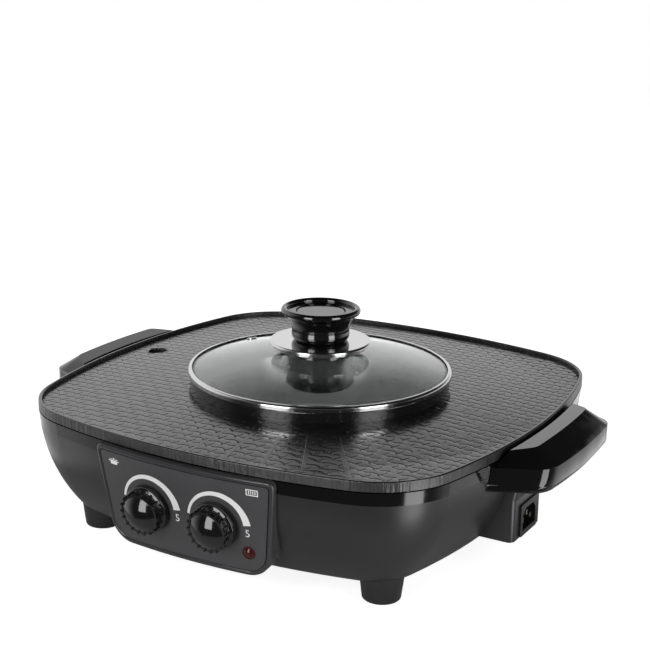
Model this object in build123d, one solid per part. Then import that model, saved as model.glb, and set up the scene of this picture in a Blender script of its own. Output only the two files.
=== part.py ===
from build123d import *
from math import asin, atan2, cos, degrees, radians, sin, sqrt
import os

# A table-top cooker: a cast grill pan with a pot sunk in its middle lifts off an electric base.
# Lengths are millimetres and angles degrees, +Z is up, and the front panel looks toward -Y.
# Everything is modelled about the pot's axis. The last lines centre the footprint on the origin.

# Bowed square outline that the pan, the base and its liner share
PAN_HALF = 190.0              # pot's axis to the middle of a side
SIDE_RADIUS = 525.0           # slow bow of each side
CORNER_RADIUS = 69.0

# Housing, a moulded bowl with a straight band round its mouth
HOUSING_TOP = 98.5
HOUSING_BOTTOM = 18.8
HOUSING_WALL = 2.6
BAND_HEIGHT = 9.5
BAND_DRAFT = 1.0              # how far the band leans in over its height
BOWL_RADIUS = 125.0
BOWL_LEAN = 6.5               # angle off upright where the bowl starts
BOTTOM_EDGE_RADIUS = 10.0
CORE_INSET = 60.0             # the skins below are swept this deep, and a core fills the rest
FLANGE_INSET = 52.0           # inner edge of the flange that carries the bottom cover
LEDGE_DEPTH = 7.5             # shelf inside the mouth that carries the liner
LEDGE_THICKNESS = 2.5

# Opening in the bowl behind the control panel
WINDOW_HALF = 62.0
WINDOW_BOTTOM = 33.0
WINDOW_TOP = 78.0
WINDOW_CORNER_RADIUS = 6.0

# Bottom cover
COVER_INSET = 43.0
COVER_THICKNESS = 1.2
VENT_LENGTH = 34.0
VENT_WIDTH = 3.5
VENT_PITCH = 9.0
VENT_COUNT = 7
VENT_ROW_OFFSET = 46.0

# Feet
FOOT_X = 124.2
FOOT_Y = 122.6
FOOT_BOTTOM_RADIUS = 13.9
FOOT_TOP_RADIUS = 17.5
FOOT_EDGE_RADIUS = 2.0
FOOT_TOP = 30.0
PAD_RADIUS = 10.5
PAD_THICKNESS = 2.6
PAD_PROUD = 0.8

# Grill pan and its pot
RIM_TOP = 106.7
RIM_WIDTH = 2.8
RIM_EDGE_RADIUS = 1.0
PLATE_TOP = 103.2
PLATE_THICKNESS = 3.8
SKIRT_INSET = 4.2
SKIRT_WIDTH = 3.0
SKIRT_DEPTH = 8.4
POT_TOP = 115.2
POT_WALL = 3.6
POT_MOUTH_RADIUS = 99.9       # inside
POT_FLOOR_RADIUS = 86.0       # inside
POT_FLOOR = 49.5              # height of the cooking face
POT_FLOOR_THICKNESS = 4.5
POT_CORNER_RADIUS = 12.0
COLLAR_FILLET = 1.5
POT_TAPER = 1.2               # how far the wall has drawn in at the plate
COLLAR_EDGE_RADIUS = 0.9
DRAIN_INSET = 25.7            # from the middle of the left side
DRAIN_Y = 4.6
DRAIN_RADIUS = 7.9
DRAIN_WEB = 1.7
DRAIN_WEB_DEPTH = 1.2         # below the plate's top
SPOUT_WALL = 1.8
SPOUT_LENGTH = 10.0
DRAIN_HOLE_GAP = 2.0          # round the spout where it passes the liner

# Lid
RING_RADIUS = 105.2
RING_HEIGHT = 4.6
RING_WALL = 0.8
RING_BEND = 2.0               # outside radius where the wall rolls over into its top lip
RING_TOP_LIP = 3.2
RING_BOTTOM_LIP = 4.2
GLASS_THICKNESS = 3.0
GLASS_DOME_RADIUS = 380.0
GLASS_TOP = 132.3             # height of the dome at its middle
VENT_HOLE_X = -85.0
VENT_HOLE_Y = 31.0
VENT_HOLE_RADIUS = 1.6
GROMMET_RADIUS = 4.4
GROMMET_LIP = 0.7
GROMMET_WALL = 0.8
GROMMET_GAP = 0.05            # between its lower lip and the glass
SEAT_RADIUS = 26.7
SEAT_TOP = 140.9
SEAT_EDGE_RADIUS = 1.5
STEAM_DISC_RADIUS = 40.5
STEAM_DISC_THICKNESS = 0.9
STEAM_DISC_RIM = 3.8          # how far its edge is turned down
STEAM_DISC_BEND = 1.8         # outside radius of that turn
STEM_FOOT_RADIUS = 19.4       # where the knob stands on the disc
STEM_BULGE_RADIUS = 23.1
STEM_BULGE_HEIGHT = 147.0
STEM_WAIST_RADIUS = 22.8
STEM_WAIST_HEIGHT = 150.5
STEM_NECK_RADIUS = 24.4
STEM_NECK_HEIGHT = 157.0
KNOB_RADIUS = 31.6
KNOB_TOP = 168.5
KNOB_LIP = 5.3                # width of the rolled lip round the top recess
KNOB_LIP_UNDERCUT = 50.0      # angle that the lip rolls on below its widest line
KNOB_RECESS = 3.1
KNOB_WALL = 2.8
KNOB_BOSS_RADIUS = 6.0
CAP_RADIUS = 19.1
CAP_HEIGHT = 1.6
CAP_SUNK = 0.6                # below the floor of the recess
CAP_GROOVE = 0.7              # round it
SCREW_RADIUS = 2.5
SCREW_HEAD_RADIUS = 5.0
SCREW_HEAD_HEIGHT = 2.4

# Control panel, modelled on a plane that leans back under the front of the pan
PANEL_PROUD = 5.0             # top of the panel's face past the outline
PANEL_TILT = 8.0
PANEL_BOW_RADIUS = 557.0
PANEL_TOP_HALF = 75.6
PANEL_BOTTOM_HALF = 67.0
PANEL_HEIGHT = 76.0
PANEL_TOP_CORNER = 5.0
PANEL_BOTTOM_CORNER = 19.0
PANEL_TOP_DROP = 1.0          # below the top of the housing
PANEL_EDGE_RADIUS = 1.6
FRAME_WIDTH = 4.0
FRAME_LIP_WIDTH = 2.0         # lip that the face plate rests on
FRAME_LIP_THICKNESS = 1.5
PANEL_DEPTH = 60.0            # deep enough for the frame to reach the bowl everywhere
PANEL_PLATE_GAP = 0.15        # round the face plate
PLATE_RECESS = 0.5
PANEL_PLATE_THICKNESS = 2.5
DIAL_X = 28.5
DIAL_DROP = 40.4              # down the face from its top
DIAL_RADIUS = 17.6
DIAL_SKIRT_HEIGHT = 4.5
DIAL_SKIRT_EDGE = 1.0
DIAL_GRIP_RADIUS = 15.2
DIAL_FACE_RADIUS = 13.6
DIAL_HEIGHT = 11.6
DIAL_DOME = 4.6
DIAL_GAP = 0.7                # air behind the knob
DIAL_WALL = 1.8
DIAL_RIB_COUNT = 18
DIAL_RIB_WIDTH = 1.9
DIAL_RIB_RADIUS = 16.4
DIAL_RIB_PROUD = 0.6          # past the edge of the domed face
SHAFT_RADIUS = 3.0
SHAFT_RUNNING_GAP = 0.05
SHAFT_HUB_WALL = 2.0
LAMP_X = 52.5
LAMP_DROP = 58.6
LAMP_RADIUS = 3.7
LAMP_DOME = 1.5
LAMP_FLANGE = 1.2
LAMP_HOLDER_LENGTH = 15.0
LAMP_HOLDER_WALL = 1.0

# Thermostats on their bracket behind the panel
BRACKET_GAP = 4.0             # panel plate to bracket
BRACKET_THICKNESS = 1.2
BRACKET_MARGIN = 4.0
POST_RADIUS = 2.6
THERMOSTAT_WIDTH = 27.0
THERMOSTAT_HEIGHT = 24.0
THERMOSTAT_DEPTH = 14.0
THERMOSTAT_EDGE_RADIUS = 3.0
BUSHING_RADIUS = 5.5
BUSHING_PROUD = 2.5           # in front of the bracket
SHAFT_DEPTH = 4.0             # inside the thermostat's body
TAB_WIDTH = 6.3
TAB_THICKNESS = 0.8
TAB_LENGTH = 8.0

# Power inlet under the right handle
INLET_PROUD = 0.0             # box's face past the outline
INLET_Y = -19.5
INLET_Z = 41.3
BEZEL_WIDTH = 30.8
BEZEL_HEIGHT = 24.8
BEZEL_THICKNESS = 1.6
BEZEL_CORNER_RADIUS = 1.5
CAVITY_WIDTH = 24.0
CAVITY_HEIGHT = 16.5
CAVITY_DEPTH = 17.0
CAVITY_CHAMFER = 5.0
SOCKET_WALL = 1.5
PIN_WIDTH = 2.0
PIN_HEIGHT = 4.0
PIN_SPACING = 7.0             # live and neutral each side of the middle
PIN_LENGTH = 24.0
PIN_SETBACK = 2.0
EARTH_RISE = 2.0
LINE_DROP = 2.0
BOSS_LOW_Y = -46.0
BOSS_HIGH_Y = 7.0
BOSS_BOTTOM = 28.0
BOSS_FLARE = 4.0              # how far the boss leans out at its top
BOSS_STRAIGHT_TOP = 60.0
BOSS_EDGE_RADIUS = 5.0
BOSS_LENGTH = 40.0            # back from its face, into the bowl
FIT_GAP = 0.3                 # between a moulding and what sits in its cut-out

# Side handles, in two halves that meet at a seam
HANDLE_SEAM = 83.5
HANDLE_BOTTOM = 78.3
HANDLE_CREASE = 96.5          # where the upright band turns into the sloping cap
HANDLE_TOP = 107.6
HANDLE_TOP_TILT = 7.5         # top face falls toward the pan
HANDLE_ROOT_INSET = 5.7       # how far it goes in past the outline, to meet the bowl
HANDLE_ROOT_HALF = 81.0
HANDLE_PROJECTION = 35.4      # outline to the outermost point
HANDLE_END_HALF = 62.0
HANDLE_CORNER_RADIUS = 20.0
CAP_CLEARANCE = 0.6           # outline to the cap's inner edge
CAP_INNER_HALF = 73.5
CAP_INNER_SLOPE = 4.8         # how far each slope draws in as it rises
CAP_OUTER_SLOPE = 17.2
CAP_TOP_INNER_HALF = 58.0
CAP_TOP_OUTER_HALF = 50.0
CAP_TOP_CORNER_RADIUS = 8.0
HANDLE_BOW_RADIUS = 525.0
HANDLE_LOWER_DRAFT = 3.6      # how far the lower half draws in at its bottom
GRIP_CLEARANCE = 7.0          # outline to the finger space
GRIP_OUTER_WALL = 11.9
GRIP_HALF = 46.0
GRIP_CEILING = 100.5
GRIP_EDGE_RADIUS = 4.0
GRIP_CORNER_RADIUS = 6.0
LUG_ROOT_INSET = 10.0
LUG_PROJECTION = 12.0
LUG_WIDTH = 11.0
LUG_THICKNESS = 4.0
HANDLE_SCREW_OUT = 6.0        # past the outline
HANDLE_SCREW_Y = 57.0
HANDLE_SCREW_RADIUS = 2.0
HANDLE_SCREW_HEAD_RADIUS = 3.6
HANDLE_SCREW_HEAD_HEIGHT = 2.0
HANDLE_SCREW_LENGTH = 16.0
HANDLE_SCREW_SINK = 2.4       # how deep the heads sit in the lower half

# Pressed steel liner that throws the heat up
LINER_THICKNESS = 1.0
LINER_RIM_GAP = 0.6           # between its rim and the housing wall
LINER_WALL_INSET = 12.0
LINER_FLOOR_INSET = 17.0
LINER_FLOOR = 76.0
WELL_MOUTH_RADIUS = 113.0
WELL_FLOOR_RADIUS = 104.0
WELL_FLOOR = 34.0

# Tubular heaters
HEATER_RADIUS = 3.5
HEATER_PLATE_GAP = 0.4        # between a heater and the casting over it
GRILL_HEATER_HALF = 146.0
GRILL_HEATER_CORNER = 42.0
POT_HEATER_HALF = 60.0
POT_HEATER_CORNER = 58.0
HEATER_LEG_GAP = 40.0
HEATER_LEG_BEND = 5.0
HEATER_LEG_DROP = 12.0        # below the liner
BUSH_RADIUS = 6.5
BUSH_HEIGHT = 8.0
BUSH_RISE = 1.5               # above the liner's floor
CLIP_WIDTH = 12.0
CLIP_THICKNESS = 1.5
CLIP_GRILL_REACH = 75.0       # from the middle of a side

# Grease drawer under the drain hole, drawn out to the left
DRAWER_WIDTH = 46.0
DRAWER_BOTTOM = 44.5
DRAWER_TOP = 65.5
DRAWER_LENGTH = 58.0          # in from the outline
DRAWER_WALL = 1.8
DRAWER_FRONT_THICKNESS = 3.0
DRAWER_GAP = 0.6
DRAWER_PULL_REACH = 6.0
DRAWER_PULL_WIDTH = 28.0
DRAWER_PULL_THICKNESS = 3.0
GUIDE_THICKNESS = 1.0
GUIDE_FLANGE = 6.0
GUIDE_SETBACK = 20.0          # its mouth from the outline

# Screws that hold the bottom cover
COVER_SCREW_RADIUS = 1.6
COVER_SCREW_HEAD_RADIUS = 3.4
COVER_SCREW_HEAD_HEIGHT = 1.8
COVER_SCREW_LENGTH = 8.0
COVER_SCREW_INSET = 52.5
COVER_SCREW_BOSS_RADIUS = 4.0
COVER_SCREW_SPREAD = 70.0     # from the middle of a side

# One overrun serves every cut
OVERRUN = 5.0

# What follows from those sizes
PANEL_REACH = PAN_HALF + PANEL_PROUD
INLET_FACE_X = PAN_HALF + INLET_PROUD
BOSS_INNER_X = INLET_FACE_X - BOSS_LENGTH
HANDLE_ROOT_X = PAN_HALF - HANDLE_ROOT_INSET
HANDLE_REACH = PAN_HALF + HANDLE_PROJECTION
CAP_INNER_X = PAN_HALF + CAP_CLEARANCE
CAP_TOP_INNER_X = CAP_INNER_X + CAP_INNER_SLOPE
CAP_TOP_OUTER_X = HANDLE_REACH - CAP_OUTER_SLOPE
GRIP_INNER_X = PAN_HALF + GRIP_CLEARANCE
GRIP_OUTER_X = HANDLE_REACH - GRIP_OUTER_WALL
LUG_ROOT_X = PAN_HALF - LUG_ROOT_INSET
LUG_REACH_X = PAN_HALF + LUG_PROJECTION
HANDLE_SCREW_X = PAN_HALF + HANDLE_SCREW_OUT
DRAIN_X = DRAIN_INSET - PAN_HALF
DRAWER_INNER_X = DRAWER_LENGTH - PAN_HALF
GUIDE_MOUTH_X = GUIDE_SETBACK - PAN_HALF
SIDE_CENTRE = PAN_HALF - SIDE_RADIUS
CORNER_CENTRE = (SIDE_CENTRE + sqrt(2 * (SIDE_RADIUS - CORNER_RADIUS) ** 2 - SIDE_CENTRE ** 2)) / 2
SIDE_HALF_ANGLE = degrees(atan2(CORNER_CENTRE, CORNER_CENTRE - SIDE_CENTRE))
BAND_BOTTOM = HOUSING_TOP - BAND_HEIGHT
BOWL_CENTRE_X = -BAND_DRAFT - BOWL_RADIUS * cos(radians(BOWL_LEAN))
BOWL_CENTRE_Z = BAND_BOTTOM + BOWL_RADIUS * sin(radians(BOWL_LEAN))
BOWL_END_SINE = (BOWL_CENTRE_Z - BOTTOM_EDGE_RADIUS - HOUSING_BOTTOM) / (BOWL_RADIUS - BOTTOM_EDGE_RADIUS)
BOWL_END_ANGLE = degrees(asin(BOWL_END_SINE))
PLATE_BOTTOM = PLATE_TOP - PLATE_THICKNESS
LEDGE_TOP = PLATE_BOTTOM - SKIRT_DEPTH - LINER_THICKNESS
POT_BOTTOM = POT_FLOOR - POT_FLOOR_THICKNESS
RING_TOP = POT_TOP + RING_HEIGHT
DISC_TOP = SEAT_TOP + STEAM_DISC_THICKNESS
CAP_SEAT = KNOB_TOP - KNOB_RECESS - CAP_SUNK - CAP_HEIGHT
FACE = Plane(
    origin=(0, -PANEL_REACH, HOUSING_TOP),
    x_dir=(1, 0, 0),
    z_dir=(0, -cos(radians(PANEL_TILT)), -sin(radians(PANEL_TILT))),
)
PLATE_FRONT = -PLATE_RECESS
PLATE_BACK = PLATE_FRONT - PANEL_PLATE_THICKNESS
BRACKET_FRONT = PLATE_BACK - BRACKET_GAP
BRACKET_BACK = BRACKET_FRONT - BRACKET_THICKNESS
SHAFT_BACK = BRACKET_BACK - SHAFT_DEPTH
DIAL_BACK = PLATE_FRONT + DIAL_GAP
LAMP_LEAN = degrees(asin(LAMP_X / PANEL_BOW_RADIUS))
LAMP_BOW = PANEL_BOW_RADIUS * (1 - cos(radians(LAMP_LEAN)))
LAMP_FACE = Plane(FACE * Pos(LAMP_X, -LAMP_DROP, PLATE_FRONT - LAMP_BOW) * Rot(Y=LAMP_LEAN))
INLET = Plane(origin=(INLET_FACE_X, INLET_Y, INLET_Z), x_dir=(0, 1, 0), z_dir=(1, 0, 0))


def outline_wire(inset=0, level=0):
    """The bowed square, drawn in by inset, at a level. It starts at the middle of the right side."""
    side = SIDE_RADIUS - inset
    corner = CORNER_RADIUS - inset
    quarter = [
        CenterArc((SIDE_CENTRE, 0, level), side, 0, SIDE_HALF_ANGLE),
        CenterArc((CORNER_CENTRE, CORNER_CENTRE, level), corner, SIDE_HALF_ANGLE, 90 - 2 * SIDE_HALF_ANGLE),
        CenterArc((0, SIDE_CENTRE, level), side, 90 - SIDE_HALF_ANGLE, SIDE_HALF_ANGLE),
    ]
    return Wire([Rot(Z=90 * turn) * arc for turn in range(4) for arc in quarter])


def slab(inset, low, high):
    """A plate of the bowed square outline between two heights."""
    return extrude(Face(outline_wire(inset, low)), amount=high - low, dir=(0, 0, 1))


def frustum(low_inset, low, high_inset, high):
    """A block whose outline changes from one inset to another."""
    return loft([Face(outline_wire(low_inset, low)), Face(outline_wire(high_inset, high))])


def outline_ring(*points):
    """A ring swept round the outline. Points are (distance out from it, height)."""
    corners = [(PAN_HALF + out, 0, height) for out, height in points]
    return sweep(Face(Wire(Polyline(*corners, close=True))), path=outline_wire())


def lathe(*points):
    """A solid turned about the pot's axis from (radius, height) points."""
    corners = [(radius, 0, height) for radius, height in points]
    return revolve(Face(Wire(Polyline(*corners, close=True))), axis=Axis.Z)


def peg(plane, radius, low, high, at=(0, 0)):
    """A round bar square to a plane, between two distances from it."""
    return extrude(plane.offset(low) * Pos(*at) * Circle(radius), amount=high - low)


def box(low, high):
    """A block between two corners."""
    size = [b - a for a, b in zip(low, high)]
    return Pos(*low) * Box(*size, align=(Align.MIN, Align.MIN, Align.MIN))


def both_ways(shape):
    """A shape and its mirror image across the middle plane."""
    return [shape, mirror(shape, about=Plane.YZ)]


def bowl_point(radius, angle):
    """A point of the bowl's section, as (distance out from the outline, height)."""
    return (BOWL_CENTRE_X + radius * cos(radians(angle)), BOWL_CENTRE_Z - radius * sin(radians(angle)))


def bowl_inset(height):
    """How far the bowl's skin has drawn in at a height between the band and the bottom edge."""
    return -(BOWL_CENTRE_X + sqrt(BOWL_RADIUS ** 2 - (BOWL_CENTRE_Z - height) ** 2))


def bowl_solid(skin=0, top_over=0):
    """The bowl filled solid, with its skin moved in by skin and its top raised by top_over."""
    radius = BOWL_RADIUS - skin
    edge_radius = BOTTOM_EDGE_RADIUS - skin
    edge_out, edge_height = bowl_point(BOWL_RADIUS - BOTTOM_EDGE_RADIUS, BOWL_END_ANGLE)
    top = HOUSING_TOP + top_over
    bottom = HOUSING_BOTTOM + skin

    def place(point):
        return (PAN_HALF + point[0], 0, point[1])

    half_turn = radians((BOWL_END_ANGLE + 90) / 2)
    edge_middle = (edge_out + edge_radius * cos(half_turn), edge_height - edge_radius * sin(half_turn))
    start = place(bowl_point(radius, BOWL_LEAN))
    middle = place(bowl_point(radius, (BOWL_LEAN + BOWL_END_ANGLE) / 2))
    end = place(bowl_point(radius, BOWL_END_ANGLE))
    floor_start = place((edge_out, bottom))
    section = Wire([
        Line(place((-CORE_INSET, top)), place((-skin, top))),
        Line(place((-skin, top)), start),
        ThreePointArc(start, middle, end),
        ThreePointArc(end, place(edge_middle), floor_start),
        Line(floor_start, place((-CORE_INSET, bottom))),
        Line(place((-CORE_INSET, bottom)), place((-CORE_INSET, top))),
    ])
    return sweep(Face(section), path=outline_wire()) + slab(CORE_INSET, bottom, top)


def panel_outline(inset=0):
    """The panel's face outline on the leaning plane: a wide U with big lower corners."""
    slope = (PANEL_TOP_HALF - PANEL_BOTTOM_HALF) / PANEL_HEIGHT
    top = -PANEL_TOP_DROP - inset
    bottom = top + 2 * inset - PANEL_HEIGHT
    top_half = PANEL_TOP_HALF - inset
    bottom_half = top_half - slope * (top - bottom)
    corners = [(-top_half, top), (-bottom_half, bottom), (bottom_half, bottom), (top_half, top)]
    face = Face(Wire(Polyline(*corners, close=True)))
    upper = face.vertices().sort_by(Axis.Y)[-2:]
    face = fillet(upper, PANEL_TOP_CORNER - min(inset, PANEL_TOP_CORNER / 2))
    lower = face.vertices().group_by(Axis.Y)[0]
    return fillet(lower, PANEL_BOTTOM_CORNER - inset)


def panel_bow(front):
    """A fat cylinder whose side is the bowed face, moved out by front."""
    upright = Plane(
        origin=FACE.from_local_coords((0, -2 * PANEL_HEIGHT, -PANEL_BOW_RADIUS)),
        x_dir=(1, 0, 0),
        z_dir=FACE.y_dir,
    )
    return extrude(upright * Circle(PANEL_BOW_RADIUS + front), amount=4 * PANEL_HEIGHT)


def panel_block(inset, low, high):
    """A block of the panel's outline between two distances from its plane."""
    return extrude(FACE.offset(low) * panel_outline(inset), amount=high - low)


def dial_places():
    """The two dials' centres on the leaning plane, pot dial first."""
    return {"pot": (-DIAL_X, -DIAL_DROP), "grill": (DIAL_X, -DIAL_DROP)}


def make_boss():
    """The box on the right side that carries the power inlet, before it is hollowed."""
    top = HANDLE_BOTTOM
    side = Wire(Polyline(
        (BOSS_INNER_X, BOSS_LOW_Y, BOSS_BOTTOM),
        (INLET_FACE_X, BOSS_LOW_Y, BOSS_BOTTOM),
        (INLET_FACE_X, BOSS_LOW_Y, BOSS_STRAIGHT_TOP),
        (INLET_FACE_X + BOSS_FLARE, BOSS_LOW_Y, top),
        (BOSS_INNER_X, BOSS_LOW_Y, top),
        close=True,
    ))
    block = extrude(Face(side), amount=BOSS_HIGH_Y - BOSS_LOW_Y, dir=(0, 1, 0))
    outer = block.edges().filter_by(lambda edge: edge.center().X > INLET_FACE_X - OVERRUN)
    upright = outer.filter_by(lambda edge: abs(edge.tangent_at(0).Z) > abs(edge.tangent_at(0).X))
    return fillet(upright.filter_by(lambda edge: abs(edge.tangent_at(0).Y) < edge.tangent_at(0).length / 2),
                  BOSS_EDGE_RADIUS)


def make_housing():
    """The moulded base: bowl, inlet boss and handle lugs, opened for all that passes through it."""
    hollow = bowl_solid(HOUSING_WALL, OVERRUN) + box(
        (BOSS_INNER_X, BOSS_LOW_Y + HOUSING_WALL, BOSS_BOTTOM + HOUSING_WALL),
        (INLET_FACE_X - HOUSING_WALL, BOSS_HIGH_Y - HOUSING_WALL, HANDLE_BOTTOM - HOUSING_WALL),
    )
    ledge_start = -HOUSING_WALL / 2
    ledge_end = -HOUSING_WALL - LEDGE_DEPTH
    ledge = outline_ring(
        (ledge_start, LEDGE_TOP),
        (ledge_end, LEDGE_TOP),
        (ledge_end, LEDGE_TOP - LEDGE_THICKNESS),
        (ledge_start, LEDGE_TOP - LEDGE_THICKNESS),
    )
    shell = bowl_solid() + make_boss() + make_lugs() - hollow + ledge
    shell -= slab(FLANGE_INSET, HOUSING_BOTTOM - OVERRUN, HOUSING_BOTTOM + HOUSING_WALL + OVERRUN)
    for x, y in cover_screw_places():
        boss_top = HOUSING_BOTTOM + COVER_SCREW_LENGTH
        shell += peg(Plane.XY, COVER_SCREW_BOSS_RADIUS, HOUSING_BOTTOM, boss_top, (x, y))
        shell -= peg(Plane.XY, COVER_SCREW_RADIUS, HOUSING_BOTTOM - OVERRUN, boss_top, (x, y))
    shell -= panel_window() + socket_hole() + drawer_mouth()
    for x in (-HANDLE_SCREW_X, HANDLE_SCREW_X):
        for y in (-HANDLE_SCREW_Y, HANDLE_SCREW_Y):
            shell -= peg(Plane.XY, HANDLE_SCREW_RADIUS, HANDLE_BOTTOM, HANDLE_CREASE, (x, y))
    return shell


def make_lugs():
    """Four ears on the housing's sides that the handle halves close on."""
    lugs = []
    for side in (-1, 1):
        for end in (-1, 1):
            place = Pos(side * (LUG_ROOT_X + LUG_REACH_X) / 2, end * HANDLE_SCREW_Y, HANDLE_SEAM)
            lugs.append(place * Box(LUG_REACH_X - LUG_ROOT_X, LUG_WIDTH, LUG_THICKNESS))
    return Part() + lugs


def panel_window():
    """The opening in the bowl behind the control panel."""
    opening = box(
        (-WINDOW_HALF, -PANEL_REACH, WINDOW_BOTTOM),
        (WINDOW_HALF, -PAN_HALF + bowl_inset(WINDOW_BOTTOM) + OVERRUN, WINDOW_TOP),
    )
    return fillet(opening.edges().filter_by(Axis.Y), WINDOW_CORNER_RADIUS)


def socket_hole():
    """The opening in the boss for the power socket's body."""
    width = CAVITY_WIDTH + 2 * (SOCKET_WALL + FIT_GAP)
    height = CAVITY_HEIGHT + 2 * (SOCKET_WALL + FIT_GAP)
    face = Plane(origin=(INLET_FACE_X - OVERRUN, INLET_Y, INLET_Z), x_dir=(0, 1, 0), z_dir=(1, 0, 0))
    return extrude(face * Rectangle(width, height), amount=2 * OVERRUN)


def drawer_mouth():
    """The opening in the left wall that the drawer fills, with a gap all round."""
    half_width = DRAWER_WIDTH / 2 + DRAWER_GAP
    return box(
        (-PAN_HALF, DRAIN_Y - half_width, DRAWER_BOTTOM - DRAWER_GAP),
        (GUIDE_MOUTH_X, DRAIN_Y + half_width, DRAWER_TOP + DRAWER_GAP),
    )


def cover_screw_places():
    """Centres of the screws that hold the bottom cover, two on each side."""
    reach = PAN_HALF - COVER_SCREW_INSET
    places = []
    for spread in (-COVER_SCREW_SPREAD, COVER_SCREW_SPREAD):
        places += [(spread, -reach), (spread, reach), (-reach, spread), (reach, spread)]
    return places


def make_bottom_cover():
    """The plate that closes the housing from below, with two rows of cooling slots."""
    low = HOUSING_BOTTOM - COVER_THICKNESS
    cover = slab(COVER_INSET, low, HOUSING_BOTTOM)
    for x in (-FOOT_X, FOOT_X):
        for y in (-FOOT_Y, FOOT_Y):
            cover -= peg(Plane.XY, FOOT_TOP_RADIUS + FIT_GAP, low - OVERRUN, HOUSING_BOTTOM + OVERRUN, (x, y))
    for x, y in cover_screw_places():
        cover -= peg(Plane.XY, COVER_SCREW_RADIUS, low - OVERRUN, HOUSING_BOTTOM + OVERRUN, (x, y))
    slot = extrude(SlotOverall(VENT_LENGTH, VENT_WIDTH, rotation=90), amount=COVER_THICKNESS + 2 * OVERRUN)
    first = -(VENT_COUNT - 1) / 2 * VENT_PITCH
    for row in (-VENT_ROW_OFFSET, VENT_ROW_OFFSET):
        for step in range(VENT_COUNT):
            cover -= Pos(first + step * VENT_PITCH, row, low - OVERRUN) * slot
    return cover


def make_foot(x, y):
    """A tapered foot whose top is cut to the bowl, with a pocket for its pad."""
    foot = revolve(Face(Wire(FilletPolyline(
        (0, 0, PAD_PROUD),
        (FOOT_BOTTOM_RADIUS, 0, PAD_PROUD),
        (FOOT_TOP_RADIUS, 0, FOOT_TOP),
        (0, 0, FOOT_TOP),
        radius=[0, FOOT_EDGE_RADIUS, 0, 0],
        close=True,
    ))), axis=Axis.Z)
    foot -= peg(Plane.XY, PAD_RADIUS, 0, PAD_THICKNESS)
    return Pos(x, y, 0) * foot - bowl_solid()


def make_pad(x, y):
    """A soft pad that stands just proud of its foot."""
    return peg(Plane.XY, PAD_RADIUS, 0, PAD_THICKNESS, (x, y))


def make_pan():
    """The casting: rimmed plate, locating skirt, drain with its spout, and the pot with its collar."""
    plate = slab(0, PLATE_BOTTOM, RIM_TOP) - slab(RIM_WIDTH, PLATE_TOP, RIM_TOP + OVERRUN)
    plate = fillet(plate.edges().group_by(Axis.Z)[-1], RIM_EDGE_RADIUS)
    skirt_outer = -SKIRT_INSET
    skirt_inner = skirt_outer - SKIRT_WIDTH
    middle = (PLATE_TOP + PLATE_BOTTOM) / 2
    skirt_bottom = PLATE_BOTTOM - SKIRT_DEPTH
    skirt = outline_ring(
        (skirt_outer, middle),
        (skirt_inner, middle),
        (skirt_inner, skirt_bottom),
        (skirt_outer, skirt_bottom),
    )
    collar = POT_MOUTH_RADIUS + POT_WALL
    foot = POT_FLOOR_RADIUS + POT_WALL
    pot = turned(
        (0, POT_BOTTOM, 0),
        (foot, POT_BOTTOM, POT_CORNER_RADIUS),
        (collar - POT_TAPER, PLATE_BOTTOM, 0),
        (collar + COLLAR_FILLET + POT_WALL, PLATE_BOTTOM, 0),
        (collar + COLLAR_FILLET + POT_WALL, PLATE_TOP, 0),
        (collar, PLATE_TOP, COLLAR_FILLET),
        (collar, POT_TOP, COLLAR_EDGE_RADIUS),
        (0, POT_TOP, 0),
    )
    inside = turned(
        (0, POT_FLOOR, 0),
        (POT_FLOOR_RADIUS, POT_FLOOR, POT_CORNER_RADIUS),
        (POT_MOUTH_RADIUS - POT_TAPER, PLATE_BOTTOM, 0),
        (POT_MOUTH_RADIUS, POT_TOP, 0),
        (POT_MOUTH_RADIUS, POT_TOP + OVERRUN, 0),
        (0, POT_TOP + OVERRUN, 0),
    )
    drain = (DRAIN_X, DRAIN_Y)
    spout = peg(Plane.XY, DRAIN_RADIUS + SPOUT_WALL, PLATE_BOTTOM - SPOUT_LENGTH, middle, drain)
    bore = peg(Plane.XY, DRAIN_RADIUS, PLATE_BOTTOM - SPOUT_LENGTH - OVERRUN, PLATE_TOP + OVERRUN, drain)
    return plate + skirt + pot - inside + spout - bore + make_drain_web()


def make_drain_web():
    """Three spokes across the drain hole that keep food out of the drawer."""
    top = PLATE_TOP - DRAIN_WEB_DEPTH
    reach = DRAIN_RADIUS + SPOUT_WALL / 2
    spoke = Pos(0, reach / 2, (top + PLATE_BOTTOM) / 2) * Box(DRAIN_WEB, reach, top - PLATE_BOTTOM)
    return Part() + [Pos(DRAIN_X, DRAIN_Y, 0) * Rot(Z=turn) * spoke for turn in (0, 120, 240)]


def turned(*points):
    """A solid turned about the pot's axis from (radius, height, corner radius) points."""
    corners = [(radius, 0, height) for radius, height, _ in points]
    outline = FilletPolyline(*corners, radius=[corner for _, _, corner in points], close=True)
    return revolve(Face(Wire(outline)), axis=Axis.Z)


def glass_height(radius, depth=0):
    """Height of the dome, or of a skin parallel to it and depth below, at a radius."""
    dome = GLASS_DOME_RADIUS - depth
    return GLASS_TOP - GLASS_DOME_RADIUS + sqrt(dome ** 2 - radius ** 2)


def dome_ball(depth):
    """The ball that a skin of the dome belongs to."""
    return Pos(0, 0, GLASS_TOP - GLASS_DOME_RADIUS) * Sphere(GLASS_DOME_RADIUS - depth)


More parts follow.
